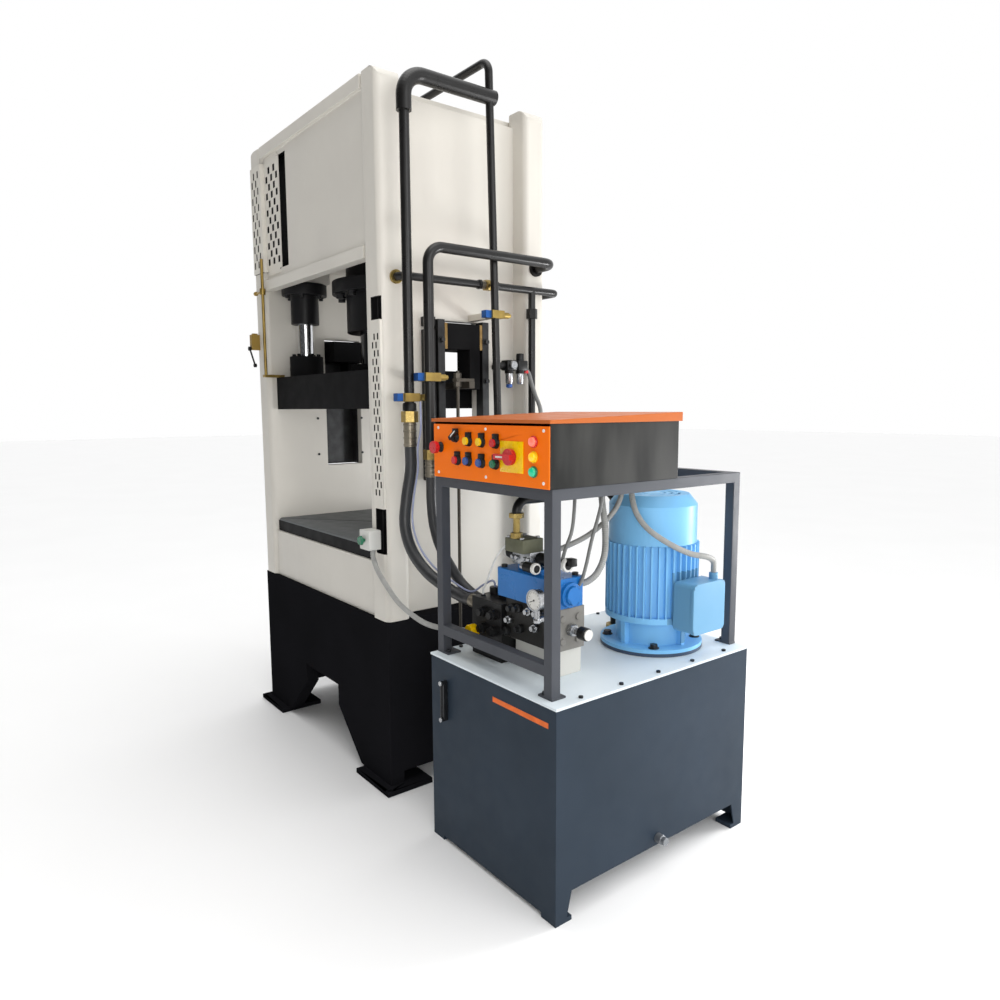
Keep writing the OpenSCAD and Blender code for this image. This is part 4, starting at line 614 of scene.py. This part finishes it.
def air_unit():
    """Filter and regulator behind the pipes: black heads, bright bowls, a blue drain cap and a red tag."""
    bm = bmesh.new()
    block(bm, *AIR_BRACKET, 2)
    block(bm, *AIR_BRIDGE, 1)
    for y in (FILTER_Y, REGULATOR_Y):
        block_at(bm, (AIR_X, y, HEAD_BOTTOM), HEAD_LOW, HEAD_HIGH, 4)
        turned(bm, BOWL_NECK, (AIR_X, y, HEAD_BOTTOM), "-Z", 24)
    turned(bm, REGULATOR_KNOB, (AIR_X, REGULATOR_Y, HEAD_TOP), "+Z", 24)
    turned(bm, AIR_INLET, (AIR_X, FILTER_Y + HEAD_LOW[1], HEAD_MIDDLE), "-Y", 20)
    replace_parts(piece("air_unit_heads", bm, black_plastic), "air_unit")
    bm = bmesh.new()
    for y in (FILTER_Y, REGULATOR_Y):
        turned(bm, BOWL, (AIR_X, y, HEAD_BOTTOM), "-Z", 24)
    turned(bm, AIR_DIAL, (AIR_X + HEAD_HIGH[0], FILTER_Y, HEAD_MIDDLE), "+X", 24)
    piece("air_unit_bowls", bm, plated_steel)
    bm = bmesh.new()
    turned(bm, BOWL_DRAIN, (AIR_X, FILTER_Y, HEAD_BOTTOM), "-Z", 20)
    piece("air_unit_drain", bm, blue_plastic)
    bm = bmesh.new()
    turned(bm, AIR_TAG, AIR_TAG_AT, "-Z", 20)
    piece("air_unit_tag", bm, red_plastic)


def hose_crimps():
    """Pressed rings on the hoses' upper tails, and the collar above the front one."""
    bm = bmesh.new()
    for (x, y, low), high, radius in HOSE_ENDS:
        ring = [(radius, -4), (radius + CRIMP_H, -2.5), (radius + CRIMP_H, 2.5), (radius, 4)]
        step = (high - low - 2 * CRIMP_MARGIN) / (CRIMPS - 1)
        for k in range(CRIMPS):
            turned(bm, ring, (x, y, low + CRIMP_MARGIN + k * step), "+Z", 28)
    piece("hose_crimps", bm, ferrule_steel)
    bm = bmesh.new()
    x, y, low = HOSE_FRONT[0]
    turned(bm, RISER_COLLAR, (x, y, RISER_COLLAR_Z), "+Z", 28, closed=True)
    piece("riser_collar", bm, black_plastic)


def pilot_union():
    """Sleeve and end nuts around the pilot pipe's joint."""
    bm = bmesh.new()
    turned(bm, UNION_SLEEVE, (UNION_X, UNION_Y, UNION_Z), "+Y", 24, closed=True)
    piece("union_sleeve", bm, ferrule_steel)
    bm = bmesh.new()
    for y in UNION_NUTS_Y:
        turned(bm, UNION_NUT, (UNION_X, y, UNION_Z), "+Y", 6, closed=True)
    piece("union_nuts", bm, dark_steel)


def window_screws():
    """Small screws around the left guide window, on the inner face of the upright."""
    bm = bmesh.new()
    for y in WINDOW_SCREWS_Y:
        for z in WINDOW_SCREWS_Z:
            turned(bm, WINDOW_SCREW, (INNER_WALL_X, y, z), "+X", 16)
    piece("window_screws", bm, dark_steel)


vent_shade_sheet()
air_unit()
hose_crimps()
pilot_union()
window_screws()

# Control panel, with places given as x and z on its face

PANEL_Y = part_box("cabinet_panel")[0][1] / MM
BUTTONS = ["button_%d" % k for k in range(1, 8)]
CONTROLS = {
    "button_1": (1166, 1371), "button_2": (1233, 1370), "button_3": (1302, 1369), "button_4": (1106, 1310),
    "button_5": (1165, 1310), "button_6": (1232, 1308), "button_7": (1301, 1308),
    "e_stop": (1010, 1347), "selector": (1097, 1381), "isolator": (1376, 1332),
}
LAMP_X = 1472
LAMPS = {
    "red_lamp": (1378, red_lens, red_plastic),
    "yellow_lamp": (1336, yellow_lens, yellow_plastic),
    "green_lamp": (1295, green_lens, green_plastic),
}
PANEL_SCREWS_X = (998, 1252, 1513)
PANEL_SCREWS_Z = (1266, 1409)
BEZEL = [(12.4, 0), (17.0, 0), (17.0, 2.5), (15.4, 4.5), (15.0, 10.5), (14.0, 12.0), (12.4, 12.0)]
LABEL_HOLDER = ((-12, -7, 11), (14, 0, 27))
LAMP_RING = [(11.0, 0), (16.5, 0), (16.5, 3.5), (14.8, 5.5), (11.0, 5.5)]
LAMP_LENS = [(13.4, 3.0), (13.2, 8.0), (11.6, 11.5), (7.5, 13.4), (0, 14.0)]
PANEL_SCREW = [(5.0, 0), (5.0, 1.2), (3.6, 2.6), (0, 3.0)]
ISOLATOR_PLATE = ((-52, -3, -45), (52, 0, 45))
ISOLATOR_MARK = ((-40, -30.4, -2.5), (-8, -29.8, 2.5))
SELECTOR_MARK = ((4, -25.5, -2), (35, -24.9, 2))
SELECTOR_TURN = math.radians(35)


def on_panel(control):
    """The place of a control on the panel's face."""
    x, z = CONTROLS[control]
    return x, PANEL_Y, z


def panel_fittings():
    """Bezels with bare label holders, lamps, the isolator's plate, screws and the marks on the handles."""
    bm = bmesh.new()
    for control in BUTTONS + ["e_stop", "selector"]:
        turned(bm, BEZEL, on_panel(control), "-Y", closed=True)
        if control != "e_stop":
            block_at(bm, on_panel(control), *LABEL_HOLDER, 1.0)
    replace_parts(piece("button_bezels", bm, black_plastic), "panel_fittings")
    for name, (z, finish, ring) in LAMPS.items():
        bm = bmesh.new()
        turned(bm, LAMP_RING, (LAMP_X, PANEL_Y, z), "-Y", closed=True)
        piece(name + "_ring", bm, ring)
        bm = bmesh.new()
        turned(bm, LAMP_LENS, (LAMP_X, PANEL_Y, z), "-Y")
        piece(name, bm, finish)
    bm = bmesh.new()
    block_at(bm, on_panel("isolator"), *ISOLATOR_PLATE, 1.0)
    piece("isolator_plate", bm, yellow_plastic)
    bm = bmesh.new()
    for x in PANEL_SCREWS_X:
        for z in PANEL_SCREWS_Z:
            turned(bm, PANEL_SCREW, (x, PANEL_Y, z), "-Y", 16)
    piece("panel_screws", bm, bright_screws)
    bm = bmesh.new()
    block(bm, *SELECTOR_MARK, 0)
    place = Matrix.Translation(mm(*on_panel("selector"))) @ Matrix.Rotation(-SELECTOR_TURN, 4, "Y")
    bmesh.ops.transform(bm, matrix=place, verts=bm.verts)
    piece("selector_mark", bm, white_plastic, "selector")
    bm = bmesh.new()
    block_at(bm, on_panel("isolator"), *ISOLATOR_MARK, 0)
    piece("isolator_mark", bm, white_plastic, "isolator")


panel_fittings()

# Gauge and adjuster

GAUGE = (1400, -316, 908)
GAUGE_CASE = [(0, 0), (27, 0), (31, 4), (31, 22), (33, 23.5), (33, 28.5), (28.5, 28.5), (28.5, 25.5),
              (0, 25.5)]
GAUGE_STEM = [(0, 0), (8, 0), (8, 26), (0, 26)]
DIAL = [(0, 25.6), (28.2, 25.6), (28.2, 26.2), (0, 26.2)]
DIAL_MARKS = 13
DIAL_MARK_RADIUS = 25
DIAL_START = 225
DIAL_STEP = 22.5
NEEDLE_TURN = math.radians(205)
NEEDLE_LENGTH = 20
NEEDLE_HUB = [(0, 26.2), (3, 26.2), (3, 27.4), (0, 27.4)]
ADJUSTER = (1425, -220, 804)
ADJUSTER_NECK = [(0, 20), (11, 20), (11, 46), (0, 46)]
ADJUSTER_GRIP = [(0, 46), (18, 46), (20, 48), (20, 74), (18, 75.5), (0, 75.5)]
ADJUSTER_CAP = [(0, 75.5), (15, 75.5), (16.5, 78), (16.5, 81), (0, 81)]


def dial_line(bm, turn, radii, half, front, back):
    """A line on the gauge's dial, as a row of small blocks along one angle."""
    x, y, z = GAUGE
    for radius in radii:
        at = (x + radius * math.cos(turn), y, z + radius * math.sin(turn))
        block_at(bm, at, (-half, -front, -half), (half, -back, half), 0)


def gauges():
    """Pressure gauge with bare dial marks, and the manifold's adjuster."""
    bm = bmesh.new()
    turned(bm, GAUGE_CASE, GAUGE, "-Y", 40)
    turned(bm, GAUGE_STEM, GAUGE, "+Y", 24)
    hexagon(bm, 34, 22, ADJUSTER, "+X")
    turned(bm, ADJUSTER_NECK, ADJUSTER, "+X", 24)
    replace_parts(piece("gauge_case", bm, plated_steel), "gauges")
    bm = bmesh.new()
    turned(bm, DIAL, GAUGE, "-Y", 40)
    turned(bm, ADJUSTER_CAP, ADJUSTER, "+X", 28)
    piece("gauge_dial", bm, white_plastic)
    bm = bmesh.new()
    for k in range(DIAL_MARKS):
        turn = math.radians(DIAL_START - k * DIAL_STEP)
        length = 5 if k % 3 == 0 else 3
        dial_line(bm, turn, range(DIAL_MARK_RADIUS, DIAL_MARK_RADIUS - length, -1), 0.6, 26.6, 26.2)
    dial_line(bm, NEEDLE_TURN, range(NEEDLE_LENGTH), 0.8, 27.0, 26.4)
    turned(bm, NEEDLE_HUB, GAUGE, "-Y", 16)
    turned(bm, ADJUSTER_GRIP, ADJUSTER, "+X", 28)
    piece("gauge_marks", bm, black_plastic)


gauges()

# Valve stack

VALVE_BODY = ((1206, -267, 980.5), (1294, -191, 1024))
VALVE_STUDS_X = (1212, 1232, 1268, 1288)
PILOT_BLOCK = ((1208.5, -299.5, 1024), (1297.5, -215.5, 1067.5))
PILOT_SCREWS_X = (1218, 1282)
PILOT_SCREWS_Y = (-290, -226)
PILOT_TOP = 1067
PILOT_SCREW = [(0, 0), (7, 0), (7, 6), (0, 6)]
LEAD_PLUG = ((1196, -282, 1030), (1209, -242, 1060))

# Foot and end of the two coils on the valve's axis, and of the coil beside them
COIL_Y = -228
COIL_Z = 1002
COILS_X = {"+X": (1295, 1357), "-X": (1205, 1143)}
SIDE_COIL_Y = -300
SIDE_COIL_Z = 990
SIDE_COIL_X = (1312, 1352)
SIDE_FOOT_X = 1296
OVERRIDE_X = 1373
COIL = [(0, 0), (20, 0), (20, 50), (17, 54), (17, 62), (0, 62)]
COIL_RING = [(12, 0), (17, 0), (18, 3), (18, 9), (16, 12), (12, 12)]
COIL_CAP = [(0, 2), (11.5, 2), (11.5, 13), (8, 16), (0, 16)]
SIDE_COIL = [(0, 0), (16, 0), (16, 40), (0, 40)]
SIDE_FOOT = [(0, 0), (12, 0), (12, 16), (0, 16)]
OVERRIDE = [(0, 0), (14, 0), (14, 54), (0, 54)]
OVERRIDE_RING = [(14.2, 40), (21, 40), (22, 43), (22, 50), (20, 53), (14.2, 53)]
CABLE_PLUG = ((1420, -236, 1000), (1448, -212, 1024))

VALVE_TOP = 962
VALVE_SCREWS_X = (1172, 1402)
VALVE_SCREWS_Y = (-272, -178)
SOCKET_SCREW = [(0, 0), (10, 0), (10, 9), (5, 9), (5, 4), (0, 4)]

# Plugs on the manifold's front, as x and z
MANIFOLD_Y = -280
DARK_PLUGS = [(1200, 760), (1232, 842), (1268, 782), (1262, 846), (1392, 852)]
BRIGHT_PLUGS = [(1214, 800), (1310, 846), (1350, 848), (1340, 800)]
DARK_PLUG = [(0, 0), (14, 0), (14, 14), (9, 18), (9, 30), (0, 30)]
PLUG_TIP = [(0, 14), (8, 14), (8, 24), (0, 24)]

GAUGE_DROP = (GAUGE[0], -330, 876)
GAUGE_NUT = (GAUGE[0], -330, 852)
GAUGE_ELBOW = (GAUGE[0], -330, 845)
DROP_PIPE = [(0, 0), (9, 0), (9, 24), (0, 24)]
ELBOW_PIPE = [(0, 0), (10, 0), (10, 50), (0, 50)]

SIGHT_NUTS_X = 1036
SIGHT_NUTS_Y = -433
SIGHT_NUTS_Z = (444, 569)
TANK_STRIP = ((1290, -413.6, 582), (1545, -412.9, 598))


def pilot_valves():
    """Solenoid valve with a coil at each end and one beside it, and the pilot block on it."""
    side_foot = (SIDE_FOOT_X, SIDE_COIL_Y, SIDE_COIL_Z)
    side_coil, side_end = [(x, SIDE_COIL_Y, SIDE_COIL_Z) for x in SIDE_COIL_X]
    override = (OVERRIDE_X, COIL_Y, COIL_Z)
    bm = bmesh.new()
    block(bm, *VALVE_BODY, 3)
    for x in VALVE_STUDS_X:
        hexagon(bm, 13, 9, (x, VALVE_BODY[0][1], COIL_Z), "-Y")
    turned(bm, SIDE_FOOT, side_foot, "+X", 24)
    for x in PILOT_SCREWS_X:
        for y in PILOT_SCREWS_Y:
            turned(bm, PILOT_SCREW, (x, y, PILOT_TOP), "+Z", 16)
    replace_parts(piece("solenoid_valve", bm, plated_steel), "pilot_valves")
    bm = bmesh.new()
    block(bm, *PILOT_BLOCK, 3)
    piece("pilot_block", bm, olive_cast)
    bm = bmesh.new()
    for axis, (foot, end) in COILS_X.items():
        turned(bm, COIL, (foot, COIL_Y, COIL_Z), axis, 28)
        turned(bm, COIL_CAP, (end, COIL_Y, COIL_Z), axis, 24)
    turned(bm, SIDE_COIL, side_coil, "+X", 24)
    turned(bm, COIL_CAP, side_end, "+X", 24)
    block(bm, *LEAD_PLUG, 2)
    turned(bm, OVERRIDE, override, "+X", 24)
    block(bm, *CABLE_PLUG, 3)
    piece("solenoid_coils", bm, black_plastic)
    bm = bmesh.new()
    for axis, (foot, end) in COILS_X.items():
        turned(bm, COIL_RING, (end, COIL_Y, COIL_Z), axis, 28, closed=True)
    turned(bm, COIL_RING, side_end, "+X", 28, closed=True)
    turned(bm, OVERRIDE_RING, override, "+X", 28, closed=True)
    piece("coil_rings", bm, white_plastic)


def valve_screws():
    """Socket screws on the control valve, plugs on the manifold, and the gauge's pipe."""
    bm = bmesh.new()
    for x in VALVE_SCREWS_X:
        for y in VALVE_SCREWS_Y:
            turned(bm, SOCKET_SCREW, (x, y, VALVE_TOP), "+Z", 20)
    for x, z in DARK_PLUGS:
        turned(bm, DARK_PLUG, (x, MANIFOLD_Y, z), "-Y", 22)
    piece("valve_screws", bm, dark_steel)
    bm = bmesh.new()
    for x, z in BRIGHT_PLUGS:
        hexagon(bm, 24, 14, (x, MANIFOLD_Y, z), "-Y")
        turned(bm, PLUG_TIP, (x, MANIFOLD_Y, z), "-Y", 18)
    turned(bm, DROP_PIPE, GAUGE_DROP, "-Z", 18)
    hexagon(bm, 22, 14, GAUGE_NUT, "-Z")
    turned(bm, ELBOW_PIPE, GAUGE_ELBOW, "+Y", 18)
    piece("block_plugs", bm, plated_steel)


def tank_trim():
    """Nuts of the sight glass, and a plain orange strip on the tank's front."""
    bm = bmesh.new()
    for z in SIGHT_NUTS_Z:
        hexagon(bm, 15, 7, (SIGHT_NUTS_X, SIGHT_NUTS_Y, z), "-Y")
    piece("sight_nuts", bm, plated_steel)
    bm = bmesh.new()
    block(bm, *TANK_STRIP, 0)
    piece("tank_strip", bm, orange_trim)


pilot_valves()
valve_screws()
tank_trim()

# Studio, in metres and watts

FLOOR_HALF = 40
WARM = (1.0, 0.99, 0.97)
COOL = (0.98, 0.99, 1.0)
NEUTRAL = (1.0, 1.0, 1.0)


def area_light(name, at, aim, size, power, colour):
    """A round soft light at a place, aimed at a point."""
    data = bpy.data.lights.new(name, "AREA")
    data.shape = "DISK"
    data.size = size
    data.energy = power
    data.color = colour
    lamp = bpy.data.objects.new(name, data)
    scene.collection.objects.link(lamp)
    lamp.location = at
    lamp.rotation_euler = (Vector(aim) - Vector(at)).to_track_quat("-Z", "Y").to_euler()


def pale_floor():
    """A plain pale floor."""
    bm = bmesh.new()
    bmesh.ops.create_grid(bm, x_segments=1, y_segments=1, size=FLOOR_HALF)
    mesh = bpy.data.meshes.new("floor")
    bm.to_mesh(mesh)
    bm.free()
    made, tree, shader, where = surface("floor_paint", Roughness=0.6)
    tone = between(tree, grain(tree, where, 900, 2), linear("#f4f4f4"), linear("#f8f8f8"))
    tree.links.new(tone, shader.inputs["Base Color"])
    mesh.materials.append(made)
    floor = bpy.data.objects.new("floor", mesh)
    scene.collection.objects.link(floor)


def soft_room():
    """White light all round: darker towards the front of the press than behind it, and brightest above."""
    world = bpy.data.worlds.new("studio")
    world.use_nodes = True
    tree = world.node_tree
    background = tree.nodes["Background"]
    background.inputs["Color"].default_value = (1.0, 1.0, 1.0, 1.0)
    direction = add(tree, "ShaderNodeTexCoord").outputs["Generated"]
    ways = add(tree, "ShaderNodeSeparateXYZ", {0: direction}).outputs
    around = spread(tree, ways[1], 0.06, 1.0, -0.7, 0.0)
    above = spread(tree, ways[2], 0.0, 0.7, 0.5, 1.0)
    strength = add(tree, "ShaderNodeMath", {0: around, 1: above}, operation="ADD").outputs[0]
    tree.links.new(strength, background.inputs["Strength"])
    scene.world = world


def studio():
    """A pale floor under soft white light."""
    pale_floor()
    soft_room()
    area_light("sky_panel", (1.5, -0.5, 5.5), (0.8, 0, 0.8), 3.0, 36, WARM)
    area_light("front_key", (4.2, -2.3, 2.0), (0.0, 0, 1.2), 1.6, 36, WARM)
    area_light("right_window", (4.6, 0.4, 2.8), (0.8, 0, 1.2), 2.5, 37, COOL)
    area_light("side_fill", (2.1, 2.1, 0.9), (0.61, 0.1, 0.6), 0.8, 38, NEUTRAL)
    scene.view_settings.view_transform = "Standard"


studio()
